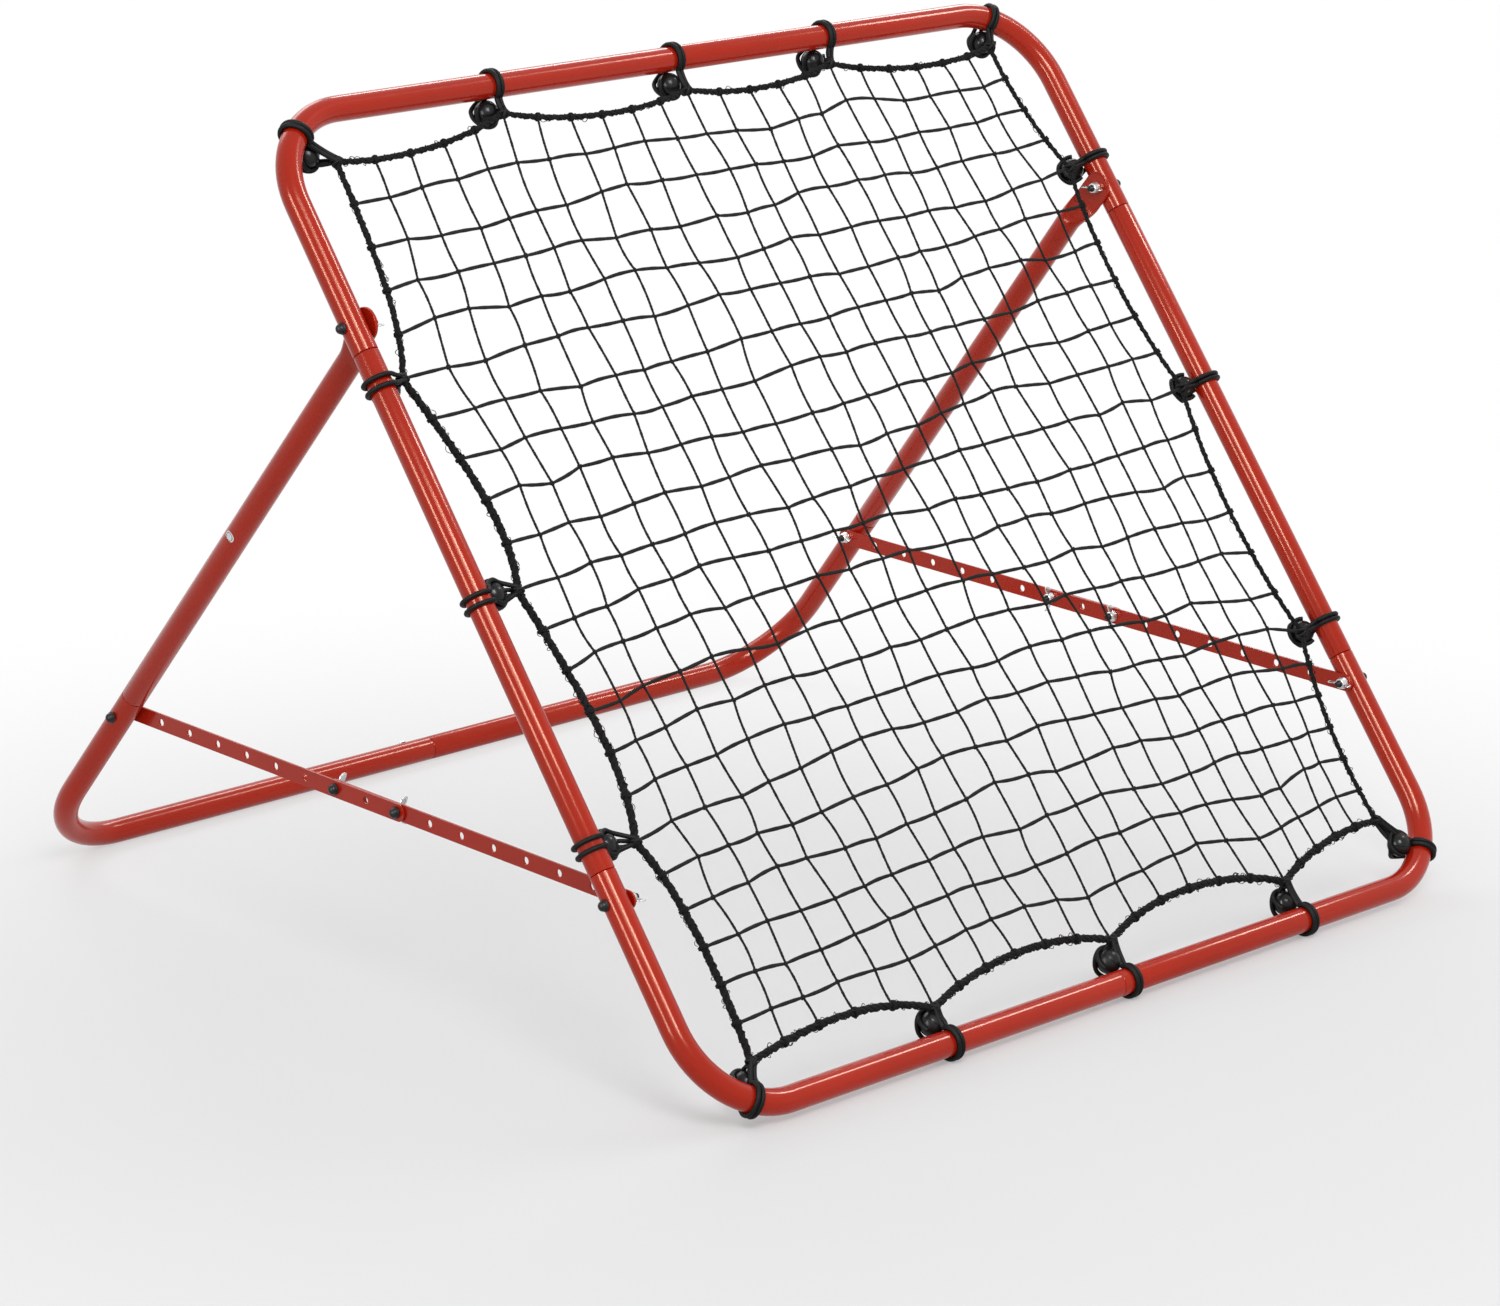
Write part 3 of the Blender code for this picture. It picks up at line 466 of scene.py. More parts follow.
def leg(side, word):
    """A leg tube pressed flat to an eye at its top."""
    flat = EYE_THICKNESS / 2
    eye_x = side * (LEG_AT_PIVOT + TUBE_R - flat)
    sections = []
    for degrees in (88, 78, 66, 54, 42, 30, 18, 6):
        angle = radians(degrees)
        edge = 0.45 if degrees > 80 else 0.85 if degrees > 70 else 1.0
        center = (eye_x, -EYE_RADIUS * sin(angle), 0)
        sections.append((center, EYE_RADIUS * cos(angle), flat * edge, 0.22))
    sections.append(((eye_x, EYE_FLAT, 0), EYE_RADIUS, flat, 0.22))
    for step in range(1, 13):
        share = step / 12
        ease = share * share * (3 - 2 * share)
        along = EYE_FLAT + (EYE_ROUND - EYE_FLAT) * share
        x = eye_x + (leg_x(side, along) - eye_x) * ease
        width = EYE_RADIUS + (TUBE_R - EYE_RADIUS) * ease
        sections.append(((x, along, 0), width, flat + (TUBE_R - flat) * ease, 0.22 + 0.78 * ease))
    for depth, radius in SWAGE:
        along = ARM - SEAM_TO_BOLT - depth
        sections.append(((leg_x(side, along), along, 0), radius, radius, 1.0))
    skins = Skins()
    verts = [vert for section in sections for vert in leg_ring(*section)]
    skins.add(verts, row_faces(len(sections), TUBE_SIDES))
    bore = [(0, -0.02), (HOLE_R, -0.02), (HOLE_R, 0.02), (0, 0.02)]
    at = Matrix.Translation((eye_x, PIVOT.y, PIVOT.z)) @ facing(1)
    mesh = without(skins.mesh("leg", REAR), turned_mesh("hole", bore, 24, at))
    dressed("rear_leg_" + word, mesh, RED, "rear_frame")


def rear_tubes():
    seam = ARM - SEAM_TO_BOLT
    for side, word in SIDES:
        leg(side, word)
        rail_corner(
            "rear_corner_" + word, (leg_x(side, seam), seam, 0),
            (leg_x(side, LEG_LENGTH), LEG_LENGTH, 0), (0, LEG_LENGTH, 0),
            side > 0, REAR, "rear_frame",
        )


# ---- struts ----

def bar_curve():
    """A flat bar with round ends and a row of round holes, its edges just broken."""
    curve = bpy.data.curves.new("bar", "CURVE")
    curve.dimensions = "2D"
    curve.fill_mode = "BOTH"
    edge = 0.00018
    curve.extrude = BAR_THICKNESS / 2 - edge
    curve.bevel_depth = edge
    curve.bevel_resolution = 1
    curve.offset = -edge
    radius = BAR_WIDTH / 2
    low, high = radius - BAR_END, (BAR_HOLES - 1) * HOLE_PITCH + BAR_END - radius
    outline = []
    for end, half_turn in ((low, 1), (high, 0)):
        for step in range(17):
            angle = pi * (half_turn + step / 16)
            outline.append((radius * cos(angle), end + radius * sin(angle)))
    loops = [outline]
    for hole in range(BAR_HOLES):
        loops.append([
            (HOLE_R * cos(angle), hole * HOLE_PITCH + HOLE_R * sin(angle))
            for angle in circle(24)
        ])
    for points in loops:
        spline = curve.splines.new("POLY")
        spline.points.add(len(points) - 1)
        for knot, (x, y) in zip(spline.points, points):
            knot.co = (x, y, 0, 1)
        spline.use_cyclic_u = True
    mesh = evaluated(placed("bar", curve))
    mesh.materials.clear()
    return mesh


def strut_frame(end, side):
    """The frame of a strut bar: its first hole at the origin, the bar along Y."""
    near = JOINTS[f"strut_{end}_" + ("left" if side < 0 else "right")]
    other = JOINTS["strut_rear_left" if end == "front" else "strut_front_left"]
    turn = math.atan2(other.z - near.z, other.y - near.y)
    plane = side * (FRONT_BAR if end == "front" else REAR_BAR)
    return Matrix.Translation((plane, near.y, near.z)) @ Matrix.Rotation(turn, 4, "X")


def struts():
    for end in ("front", "rear"):
        for side, word in SIDES:
            mesh = bar_curve()
            mesh.transform(strut_frame(end, side) @ facing(1))
            name = f"strut_{end}_{word}"
            dressed(name, mesh, RED, name, 30)


# ---- bolts and nuts ----

def thread(start, end):
    """A profile of thread ridges from start to end along the bolt."""
    points = []
    turns = max(1, round(abs(end - start) / 0.001))
    step = (end - start) / turns
    for turn in range(turns):
        at = start + turn * step
        points += [(BOLT_R, at + step * 0.15), (BOLT_R - 0.00045, at + step * 0.65)]
    return points


def bolt(length, bare):
    """A bolt with a domed head over a low flange, and thread over its last stretch."""
    profile = [(0, 0.0069)]
    for degrees in (75, 60, 45, 30, 15, 0):
        angle = radians(degrees)
        profile.append((0.0048 * cos(angle), 0.0019 + 0.0049 * sin(angle)))
    profile += [(0.0049, 0.0014), (0.0055, 0.0011), (0.0055, 0.0002), (0.0053, 0.0)]
    profile += [(BOLT_R, 0.0), (BOLT_R, -bare)]
    profile += thread(-bare, -length + 0.0008)
    return profile + [(0.0026, -length + 0.0005), (0.0021, -length), (0, -length)]


def stud(length):
    """The threaded half of a lock bolt."""
    profile = [(0, length), (0.0021, length), (0.0026, length - 0.0005)]
    profile += thread(length - 0.0008, 0.0025)
    return profile + [(BOLT_R, 0.0024), (BOLT_R, 0.0), (0, 0.0)]


def facing(side):
    """Turns what stands along Z to lie across the part."""
    return Matrix.Rotation(side * pi / 2, 4, "Y")


def set_bolt(name, profile, at, side, body):
    mesh = turned_mesh(name, profile, 32, Matrix.Translation(at) @ facing(side))
    dressed(name, mesh, BLACK, body, 35)


def wing_nut(name, at, side):
    """A pressed wing nut: a coned hub with a bore and two rounded, raised wings."""
    hub = Skins()
    hub.add(*turned([
        (0.0033, 0.0), (0.0059, 0.0), (0.00625, 0.0005), (0.0061, 0.0014), (0.0052, 0.0042),
        (0.0048, 0.0061), (0.0044, 0.0065), (0.0037, 0.0065), (0.0033, 0.0061), (0.0033, 0.0),
    ], 28))
    for way in (-1, 1):
        rows = []
        for step in range(13):
            share = step / 12
            out = 0.0040 + 0.0092 * share
            rise = 0.0030 + 0.0035 * share ** 1.4
            tall = 0.0026 + 0.0011 * sin(share * pi) + 0.0004 * share
            thick = 0.0012 - 0.0004 * share
            if share > 0.8:
                round_off = math.sqrt(max(0.0, 1 - ((share - 0.8) / 0.205) ** 2))
                tall, thick = tall * round_off, thick * (0.35 + 0.65 * round_off)
            for angle in circle(16):
                rows.append((
                    way * out, thick * squared(cos(angle), 0.6),
                    rise + tall * squared(sin(angle), 0.8),
                ))
        hub.add(rows, row_faces(13, 16))
    # It is turned about its bolt as the CAD one is, whose box shows the way of its wings.
    low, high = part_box(name)
    turn = 0.0 if high.z - low.z > high.y - low.y else pi / 2
    matrix = Matrix.Translation(at) @ facing(side) @ Matrix.Rotation(turn, 4, "Z")
    dressed(name, hub.mesh(name, matrix), ZINC, name)


def middle_of(name):
    """The middle of a CAD part's box."""
    return [(low + high) / 2 for low, high in zip(*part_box(name))]


def fasteners():
    eye = LEG_AT_PIVOT + TUBE_R - EYE_THICKNESS
    bar_half = BAR_THICKNESS / 2
    stacks = (
        ("pivot", "fold", HALF + TUBE_R, eye, "rear_frame"),
        ("strut_front", "strut_front_left", HALF + TUBE_R, FRONT_BAR - bar_half, "front_frame"),
        ("strut_rear", "strut_rear_left", LEG_AT_STRUT + TUBE_R, REAR_BAR - bar_half, "rear_frame"),
    )
    for what, joint, seat, nut_seat, body in stacks:
        _, y, z = JOINTS[joint]
        for side, word in SIDES:
            length = seat + CLEARANCE - (nut_seat - 0.0108)
            at = (side * (seat + CLEARANCE), y, z)
            set_bolt(f"{what}_bolt_{word}", bolt(length, length - 0.014), at, side, body)
            at = (side * (nut_seat - CLEARANCE), y, z)
            wing_nut(f"{what}_wing_nut_{word}", at, -side)
    half_shank = 0.00245  # of a lock bolt, up to the plane between the two bars
    head = [(r, z) for r, z in bolt(half_shank, 0.0024) if z > -0.0001]
    head += [(BOLT_R, -half_shank), (0, -half_shank)]
    for side, word in SIDES:
        for number in (1, 2):
            name = f"lock_bolt_{word}_{number}"
            _, y, z = middle_of(name)
            at = (side * (REAR_BAR + bar_half + CLEARANCE), y, z)
            set_bolt(name, head, at, side, "strut_rear_" + word)
            name = f"lock_stud_{word}_{number}"
            _, y, z = middle_of(name)
            at = (side * (FRONT_BAR + bar_half), y, z)
            set_bolt(name, stud(0.01295), at, -side, "strut_front_" + word)
            at = (side * (FRONT_BAR - bar_half - CLEARANCE), y, z)
            wing_nut(f"lock_wing_nut_{word}_{number}", at, -side)


def rail_screws():
    """Small domed screws with a cross slot, on the side of the rail where the CAD ones are."""
    profile = [(0, 0.0029), (0.0018, 0.0030), (0.0033, 0.0022), (0.0043, 0.0008), (0.0045, 0.0)]
    profile += [(0.002, 0.0), (0.002, -0.010), (0, -0.010)]
    blade = [
        (x, y, z) for x in (-0.0019, 0.0019) for y in (-0.00035, 0.00035) for z in (0.0012, 0.004)
    ]
    box_faces = (
        (0, 1, 3, 2), (4, 6, 7, 5), (0, 4, 5, 1), (2, 3, 7, 6), (0, 2, 6, 4), (1, 5, 7, 3),
    )
    for name, matrix, x, y, body in (
        ("rail_screw_top", FRONT, RAIL_SEAM - SEAM_TO_BOLT, FRAME_SIZE, "front_frame"),
        ("rail_screw_bottom", FRONT, RAIL_SEAM - SEAM_TO_BOLT, 0, "front_frame"),
        ("rail_screw_rear", REAR, -SEAM_TO_BOLT, LEG_LENGTH, "rear_frame"),
    ):
        out = matrix.to_3x3() @ Vector((0, 0, 1))
        axis = matrix @ Vector((x, y, 0))
        out = out if (Vector(middle_of(name)) - axis).dot(out) > 0 else -out
        spin = out.to_track_quat("Z", "Y").to_matrix().to_4x4()
        seat = Matrix.Translation(axis + out * (TUBE_R + CLEARANCE)) @ spin
        mesh = turned_mesh(name, profile, 28, seat)
        for turn in (0, pi / 2):
            slot = Skins()
            slot.add([Matrix.Rotation(turn, 4, "Z") @ Vector(v) for v in blade], box_faces)
            mesh = without(mesh, slot.mesh("slot", seat))
        dressed(name, mesh, ZINC, body, 35)


# ---- the net's edge ----

def around_corner(word):
    """A place on the axis of a corner's bend, and the way from it into the frame."""
    angle = radians(CORNER_TIES[word])
    middle_x = math.copysign(HALF - BEND_RADIUS, cos(angle))
    middle_y = FRAME_SIZE - BEND_RADIUS if sin(angle) > 0 else BEND_RADIUS
    out = Vector((cos(angle), sin(angle)))
    return Vector((middle_x, middle_y)) + out * BEND_RADIUS, -out


def tie_places():
    """The name of each tie, its place on a tube's axis and the way into the frame, in order."""
    places = [("bottom_left", *around_corner("bottom_left"))]
    for number, x in enumerate(BOTTOM_TIES, 1):
        places.append((f"bottom_{number}", Vector((x, 0)), Vector((0, 1))))
    places.append(("bottom_right", *around_corner("bottom_right")))
    for number, y in enumerate(RIGHT_TIES, 1):
        places.append((f"right_{number}", Vector((HALF, y)), Vector((-1, 0))))
    places.append(("top_right", *around_corner("top_right")))
    for number, x in reversed(list(enumerate(TOP_TIES, 1))):
        places.append((f"top_{number}", Vector((x, FRAME_SIZE)), Vector((0, -1))))
    places.append(("top_left", *around_corner("top_left")))
    for number, y in reversed(list(enumerate(LEFT_TIES, 1))):
        places.append((f"left_{number}", Vector((-HALF, y)), Vector((1, 0))))
    return places


PLACES = tie_places()
# How many net cells lie between one tie and the next, in the order of PLACES.
SPAN_CELLS = (5, 6, 6, 5, 6, 6, 6, 4, 6, 5, 6, 5, 5, 5, 6, 6)
# How far the rope bows in between one tie and the next, as a share of the way, and how much
# more it does so near the second one.
SPAN_BOWS = (
    (0.076, 0.29), (0.087, 0.10), (0.098, 0.0), *[(0.065, 0.0)] * 8, (0.062, 0.0),
    (0.053, 0.50), (0.081, 0.50), (0.069, 0.45), (0.062, -0.30),
)
# How far each tie holds the rope from its tube's axis, how far along the tube the rope's hitch,
# the ball and the cord's turns are, and where the ball sits round the tube, in degrees from the
# frame's plane towards the thrower.
TIES = {
    "bottom_left": (0.0341, -0.0020, -0.0044, -0.0020, -32),
    "bottom_1": (0.0327, -0.0005, 0.0025, 0.0, -21),
    "bottom_2": (0.0390, -0.0034, 0.0060, 0.0, -14),
    "bottom_3": (0.0385, 0.0014, 0.0035, 0.0, -24),
    "bottom_right": (0.0543, -0.0036, 0.0062, 0.0, -4),
    "right_1": (0.0359, 0.0035, 0.0003, 0.0, -37),
    "right_2": (0.0330, 0.0011, -0.0012, 0.0, -22),
    "right_3": (0.0377, 0.0050, 0.0, 0.0, -50),
    "top_right": (0.0330, -0.0030, 0.0010, -0.0030, -46),
    "top_1": (0.0282, -0.0044, -0.0115, -0.0035, -31),
    "top_2": (0.0335, -0.0042, -0.0112, -0.0035, -27),
    "top_3": (0.0288, -0.0105, -0.0125, -0.0020, -46),
    "top_left": (0.0426, 0.0035, 0.0, 0.0, -33),
    "left_1": (0.0470, -0.0031, 0.0030, 0.0030, -22),
    "left_2": (0.0445, 0.0037, 0.0068, 0.0010, -17),
    "left_3": (0.0256, 0.0021, 0.0, 0.0, -40),
}


def edge_knot(span):
    name, middle, inward = PLACES[span % len(PLACES)]
    return middle + inward * TIES[name][0] + Vector((-inward.y, inward.x)) * TIES[name][1]


def edge_point(span, share):
    """The rope's axis between a tie and the next."""
    one, two = edge_knot(span), edge_knot(span + 1)
    way = two - one
    bow, skew = SPAN_BOWS[span % len(PLACES)]
    inward = Vector((-way.y, way.x)) * bow
    bulge = (4 * share * (1 - share)) ** 0.85 * (1 + skew * (2 * share - 1))  # fuller than an arc
    return one + way * share + inward * bulge


def edge_route():
    """The whole rope's axis in small even steps, with the span and share of each point."""
    points = []
    for span in range(len(PLACES)):
        length = (edge_point(span, 1.0) - edge_point(span, 0.0)).length
        steps = round(length / ROPE_STEP)
        points += [(edge_point(span, step / steps), span, step / steps) for step in range(steps)]
    return points


def rope_radius(span):
    """The rope is thickest on the left and along the bottom, and thinnest on the right."""
    name = PLACES[span][0]
    if name.startswith("right") or name == "bottom_right":
        return 0.0023
    return 0.0029 if name.startswith("top") else 0.0036


def smoothed(values, width):
    """The running mean of a closed row of values."""
    half = width // 2
    row = np.concatenate([values[-half:], values, values[:half]])
    return np.convolve(row, np.ones(width) / width, "valid")


def border_rope():
    """Three twisted yarns with a whipping of twine round them, and stray loops."""
    route = edge_route()
    count = len(route)
    flat = np.array([(p.x, p.y) for p, _, _ in route])
    ahead = np.roll(flat, -2, 0) - np.roll(flat, 2, 0)
    ahead /= np.linalg.norm(ahead, axis=1)[:, None]
    across = np.stack([-ahead[:, 1], ahead[:, 0]], 1)
    radii = smoothed(np.array([rope_radius(span) for _, span, _ in route]), 15)
    noise = [np.array([chance.uniform(-1, 1) for _ in range(count)]) for _ in range(6)]
    smooth = [smoothed(row, 7) for row in noise]
    skins = Skins()

    def beside(index, angle, reach):
        """The point at an angle round the rope's axis."""
        sideways = across[index] * reach * cos(angle)
        return (*(flat[index] + sideways), reach * sin(angle))

    turns = round(count * ROPE_STEP / 0.021)
    for strand_number in range(3):
        rings = []
        for index in range(count):
            angle = 2 * pi * (turns * index / count + strand_number / 3)
            reach = radii[index] * (0.52 + 0.16 * smooth[strand_number][index])
            radius = radii[index] * (0.53 + 0.10 * smooth[strand_number + 3][index])
            rings.append((beside(index, angle, reach), radius))
        skins.add(*strung(rings, 6, closed=True))
    # The whipping: one thin twine wound the other way, standing a little proud.
    turns = round(count * ROPE_STEP / 0.0125)
    rings = []
    for index in range(count):
        reach = radii[index] * (1.0 + 0.18 * smooth[5][index])
        rings.append((beside(index, -2 * pi * turns * index / count, reach), 0.00075))
    skins.add(*strung(rings, 5, closed=True))
    # Stray loops of yarn, fewer where the rope is thinner.
    for _ in range(760):
        index = chance.randrange(count)
        span_name = PLACES[route[index][1]][0]
        if span_name.startswith(("right", "top")) and chance.random() < 0.6:
            continue
        angle = chance.uniform(0, 2 * pi)
        base = Vector((*flat[index], 0))
        side = Vector((*(across[index] * cos(angle)), sin(angle)))
        along = Vector((*ahead[index], 0))
        reach = radii[index] * chance.uniform(0.9, 1.15)
        tall = chance.uniform(0.0006, 0.0026)
        wide = chance.uniform(0.001, 0.0040)
        rings = []
        for step in range(7):
            share = step / 6
            lift = sin(share * pi) * tall
            spot = base + along * (wide * (share - 0.5) * 2) + side * (reach + lift)
            rings.append((spot, 0.00038))
        skins.add(*strung(rings, 4))
    mesh = skins.mesh("border", FRONT)
    dressed("border_rope", mesh, ROPE, "front_frame", 60)


# ---- the net ----

def edge_nodes():
    """The places on the rope where the net's lines start, in order from the bottom left."""
    return [
        edge_point(span, step / cells)
        for span, cells in enumerate(SPAN_CELLS) for step in range(cells)
    ]


def net_nodes():
    """The knots of the net: its edge on the rope, and inside it at rest under even pull."""
    count = CELLS + 1
    nodes = edge_nodes()
    grid = np.zeros((count, count, 2))
    for step in range(CELLS):
        grid[step, 0] = nodes[step]
        grid[CELLS, step] = nodes[CELLS + step]
        grid[CELLS - step, CELLS] = nodes[2 * CELLS + step]
        grid[0, CELLS - step] = nodes[3 * CELLS + step]
    for i in range(1, CELLS):
        for j in range(1, CELLS):
            u, v = i / CELLS, j / CELLS
            grid[i, j] = (
                grid[0, j] * (1 - u) + grid[CELLS, j] * u
                + grid[i, 0] * (1 - v) + grid[i, CELLS] * v
                - (grid[0, 0] * (1 - u) * (1 - v) + grid[CELLS, 0] * u * (1 - v)
                   + grid[0, CELLS] * (1 - u) * v + grid[CELLS, CELLS] * u * v)
            )
    pull_x = np.array([[chance.uniform(0.72, 1.34) for _ in range(count)] for _ in range(CELLS)])
    pull_y = np.array([[chance.uniform(0.72, 1.34) for _ in range(CELLS)] for _ in range(count)])
    for _ in range(260):
        total = np.zeros((CELLS - 1, CELLS - 1, 2))
        weight = np.zeros((CELLS - 1, CELLS - 1, 1))
        inner = slice(1, CELLS)
        for pull, near in (
            (pull_x[:-1, inner], grid[:-2, inner]), (pull_x[1:, inner], grid[2:, inner]),
            (pull_y[inner, :-1], grid[inner, :-2]), (pull_y[inner, 1:], grid[inner, 2:]),
        ):
            total += near * pull[..., None]
            weight += pull[..., None]
        grid[inner, inner] += 0.9 * (total / weight - grid[inner, inner])
    heights = np.zeros((count, count))
    for i in range(1, CELLS):
        for j in range(1, CELLS):
            grid[i, j] += (chance.uniform(-0.0008, 0.0008), chance.uniform(-0.0008, 0.0008))
            heights[i, j] = chance.uniform(-0.0015, 0.0015)
    return grid, heights


def strand(skins, one, two, lean, slack, flat):
    """One side of a mesh: a soft twine between two knots, bowed a little. A flat one is wider,
    its two plies lying side by side between the knots."""
    way = two - one
    length = way.length
    steps = max(8, round(length / 0.0034))
    across = Vector((-way.y, way.x, 0)).normalized()
    rings = []
    for step in range(steps + 1):
        share = step / steps
        swell = sin(share * pi)
        center = one + way * share + across * (swell * slack) + Vector((0, 0, swell * lean))
        plump = 1.0 + 0.05 * sin(share * 19.0 + slack * 4000)
        wide, high, spin = 0.00132, 0.00118, share * length / 0.011 * pi
        if flat:
            wide, high, spin = 0.00112 + 0.00075 * swell ** 0.6, 0.00105 - 0.00012 * swell, 0.0
        rings.append((center, (wide * plump, high * plump), spin))
    skins.add(*strung(rings, 7, flat=flat))


def knot(skins, at, spin):
    """A small flat knot: two crossed loops of twine round the crossing."""
    for way, tilt in ((0.0, 0.55), (pi / 2, -0.55)):
        rings = []
        for angle in circle(9):
            rise = 0.0009 * sin(angle + 0.6)
            local = Vector((0.0021 * cos(angle), 0.0013 * sin(angle), rise))
            local.rotate(Matrix.Rotation(tilt, 3, "X"))
            local.rotate(Matrix.Rotation(spin + way, 3, "Z"))
            rings.append((at + local, 0.00088))
        skins.add(*strung(rings, 5, closed=True))


def net():
    grid, heights = net_nodes()
    count = CELLS + 1
    at = {
        (i, j): Vector((*grid[i, j], heights[i, j])) for i in range(count) for j in range(count)
    }
    skins = Skins()
    for (i, j), here in at.items():
        for ahead, inside, flat in (
            ((i + 1, j), 0 < j < CELLS, True), ((i, j + 1), 0 < i < CELLS, False),
        ):
            if inside and ahead in at:
                lean, slack = chance.uniform(-0.001, 0.001), chance.uniform(-0.0011, 0.0011)
                strand(skins, here, at[ahead], lean, slack, flat)
        if 0 < i < CELLS and 0 < j < CELLS:
            knot(skins, here, chance.uniform(0, pi))
    dressed("net", skins.mesh("net", FRONT), TWINE, "front_frame", 70)
    hitches = Skins()
    nodes = edge_nodes()
    spans = [span for span, cells in enumerate(SPAN_CELLS) for _ in range(cells)]
    for index, (point, span) in enumerate(zip(nodes, spans)):
        ahead = (nodes[(index + 1) % len(nodes)] - nodes[index - 1]).normalized()
        hitch(hitches, point, ahead, rope_radius(span) + 0.0006)
    mesh = hitches.mesh("hitches", FRONT)
    finished("look_net_hitches", mesh, ROPE, "front_frame", (), 60)


def hitch(skins, point, ahead, radius):
    """The end of a net line, wound a little over twice round the rope."""
    at = Vector((point.x, point.y, 0))
    along = Vector((ahead.x, ahead.y, 0))
    across = Vector((-ahead.y, ahead.x, 0))
    rings = []
    for step in range(27):
        angle = 2 * pi * step / 11
        place = at + along * (0.0016 * (step / 13 - 1))
        place += across * (radius * cos(angle))
        rings.append((place + Vector((0, 0, radius * sin(angle))), 0.0010))
    skins.add(*strung(rings, 5))


# ---- ball ties ----

def smooth_route(points, steps):
    """A Catmull-Rom curve through points."""
    made = []
    row = [points[0], *points, points[-1]]
    for p in zip(row, row[1:], row[2:], row[3:]):
        for step in range(steps):
            t = step / steps
            made.append(0.5 * (
                2 * p[1] + (p[2] - p[0]) * t + (2 * p[0] - 5 * p[1] + 4 * p[2] - p[3]) * t * t
                + (3 * p[1] - p[0] - 3 * p[2] + p[3]) * t ** 3
            ))
    return made + [points[-1]]


def around_tube(radius, low, high, offset, steps=16):
    """Points round the tube between two angles, from the front over the back."""
    points = []
    for step in range(steps + 1):
        angle = radians(low + (high - low) * step / steps)
        points.append(Vector((radius * cos(angle), offset, radius * sin(angle))))
    return points


def tie(name, middle, inward):
    """A ball tie: an elastic loop hitched to the rope, drawn round the tube and hooked over
    the ball on its own ends."""
    turn = math.atan2(inward.y, inward.x)
    matrix = FRONT @ Matrix.Translation((middle.x, middle.y, 0)) @ Matrix.Rotation(turn, 4, "Z")
    reach, hitch_y, along, turns_y, degrees = TIES[name]
    phi = radians(degrees)
    is_left = name.startswith("left")
    hides_ball = name == "left_3"  # its ball is behind the tube
    over_ball = is_left and not hides_ball  # its front strands run past the ball
    apart = 0.0046 if is_left else 0.0023
    out = Vector((cos(phi), 0, sin(phi)))
    back = Vector((sin(phi), 0, -cos(phi)))
    ahead = Vector((0, 1, 0))
    ball = out * BALL_OUT + ahead * along
    hitch_at = Vector((reach, hitch_y, 0))
    seat = TUBE_R + CORD_R + 0.0001
    # The front strands leave the tube a little past where a straight run would.
    straight = math.degrees(math.acos(seat / reach))
    front_angle = straight - 4 if is_left else 12
    back_angle = 262 if hides_ball or degrees < -44 else 282
    half = [hitch_at + Vector((0.0010, 0.0016, 0.0034))]
    if over_ball:
        half += [
            ball + Vector((0.0105, 0.0082, 0.0040)), ball + Vector((0.0010, 0.0115, 0.0075)),
            ball + Vector((-0.0085, 0.0080, 0.0112)),
        ]
    else:
        angle = radians(front_angle)
        touch = Vector((seat * cos(angle), turns_y + apart, seat * sin(angle)))
        start = half[0]
        for share in (0.35, 0.7):
            half.append(start + (touch - start) * share + Vector((0, 0, -0.0012)))
    half += around_tube(seat, front_angle, back_angle, turns_y + apart)
    half += [
        ball + back * 0.0132 + out * -0.0040 + ahead * 0.0058,
        ball + back * 0.0088 + out * 0.0020 + ahead * 0.0102,
        ball + back * 0.0010 + out * 0.0075 + ahead * 0.0114,
        ball + out * 0.0118 + back * -0.0030 + ahead * 0.0068,
    ]
    middle_point = ball + out * 0.0134 + back * -0.0038
    # The other strand mirrors this one about the hitch, the tube's ring or the ball.
    near = 4 if over_ball else 3
    other = []
    for index, point in enumerate(half):
        mirror = 2 * turns_y
        if index >= len(half) - 4 or (over_ball and 0 < index < near):
            mirror = 2 * ball.y
        elif index < near:
            mirror = 2 * (hitch_y + (turns_y - hitch_y) * index / near)
        other.insert(0, Vector((point.x, mirror - point.y, point.z)))
    skins = Skins()
    route = smooth_route(half + [middle_point] + other, 4)
    skins.add(*strung([(p, CORD_R) for p in route], 10))
    # The ends of the loop, from the ball to the hitch.
    for way in (-1, 1):
        hole = ball + out * 0.0095 + ahead * (way * 0.0022) + back * -0.0010
        end = hitch_at + Vector((-0.0005, way * 0.0012, -0.0022))
        bow = (hole + end) / 2 + ahead * (way * 0.0012)
        skins.add(*strung([(p, CORD_R * 0.92) for p in smooth_route([hole, bow, end], 5)], 8))
    # A curl of the cord round the ball, open where the tube is.
    if not hides_ball:
        rings = []
        for step in range(19):
            angle = radians(64 + 232 * step / 18)
            spot = ball + out * (-0.0132 * cos(angle)) + back * -0.0022
            rings.append((spot + ahead * (0.0132 * sin(angle)), CORD_R * 0.9))
        skins.add(*strung(rings, 8))
    # The hitch, where the cord takes hold of the rope.
    for size, lean, shift in ((0.0047, 0.5, 0.0008), (0.0050, -0.45, -0.0006), (0.0042, 1.35, 0.0)):
        rings = []
        for angle in circle(14):
            c, s = size * cos(angle), size * sin(angle)
            spot = Vector((c, 0.0006 * sin(2 * angle), s))
            spot.rotate(Matrix.Rotation(lean, 3, "Z"))
            rings.append((spot + hitch_at + Vector((0.0003, shift, 0)), 0.0018))
        skins.add(*strung(rings, 7, closed=True))
    mesh = skins.mesh("cord", matrix)
    for vert in mesh.vertices:  # none dips under the floor
        vert.co.z = max(vert.co.z, 0.0)
    finished(f"look_cord_{name}", mesh, BUNGEE, "front_frame", ["tie_" + name], 60)
    at = matrix @ Matrix.Translation(ball) @ Matrix.Rotation(-phi, 4, "Y")
    finished(f"look_ball_{name}", ball_mesh(at), BALL, "front_frame", (), 50)


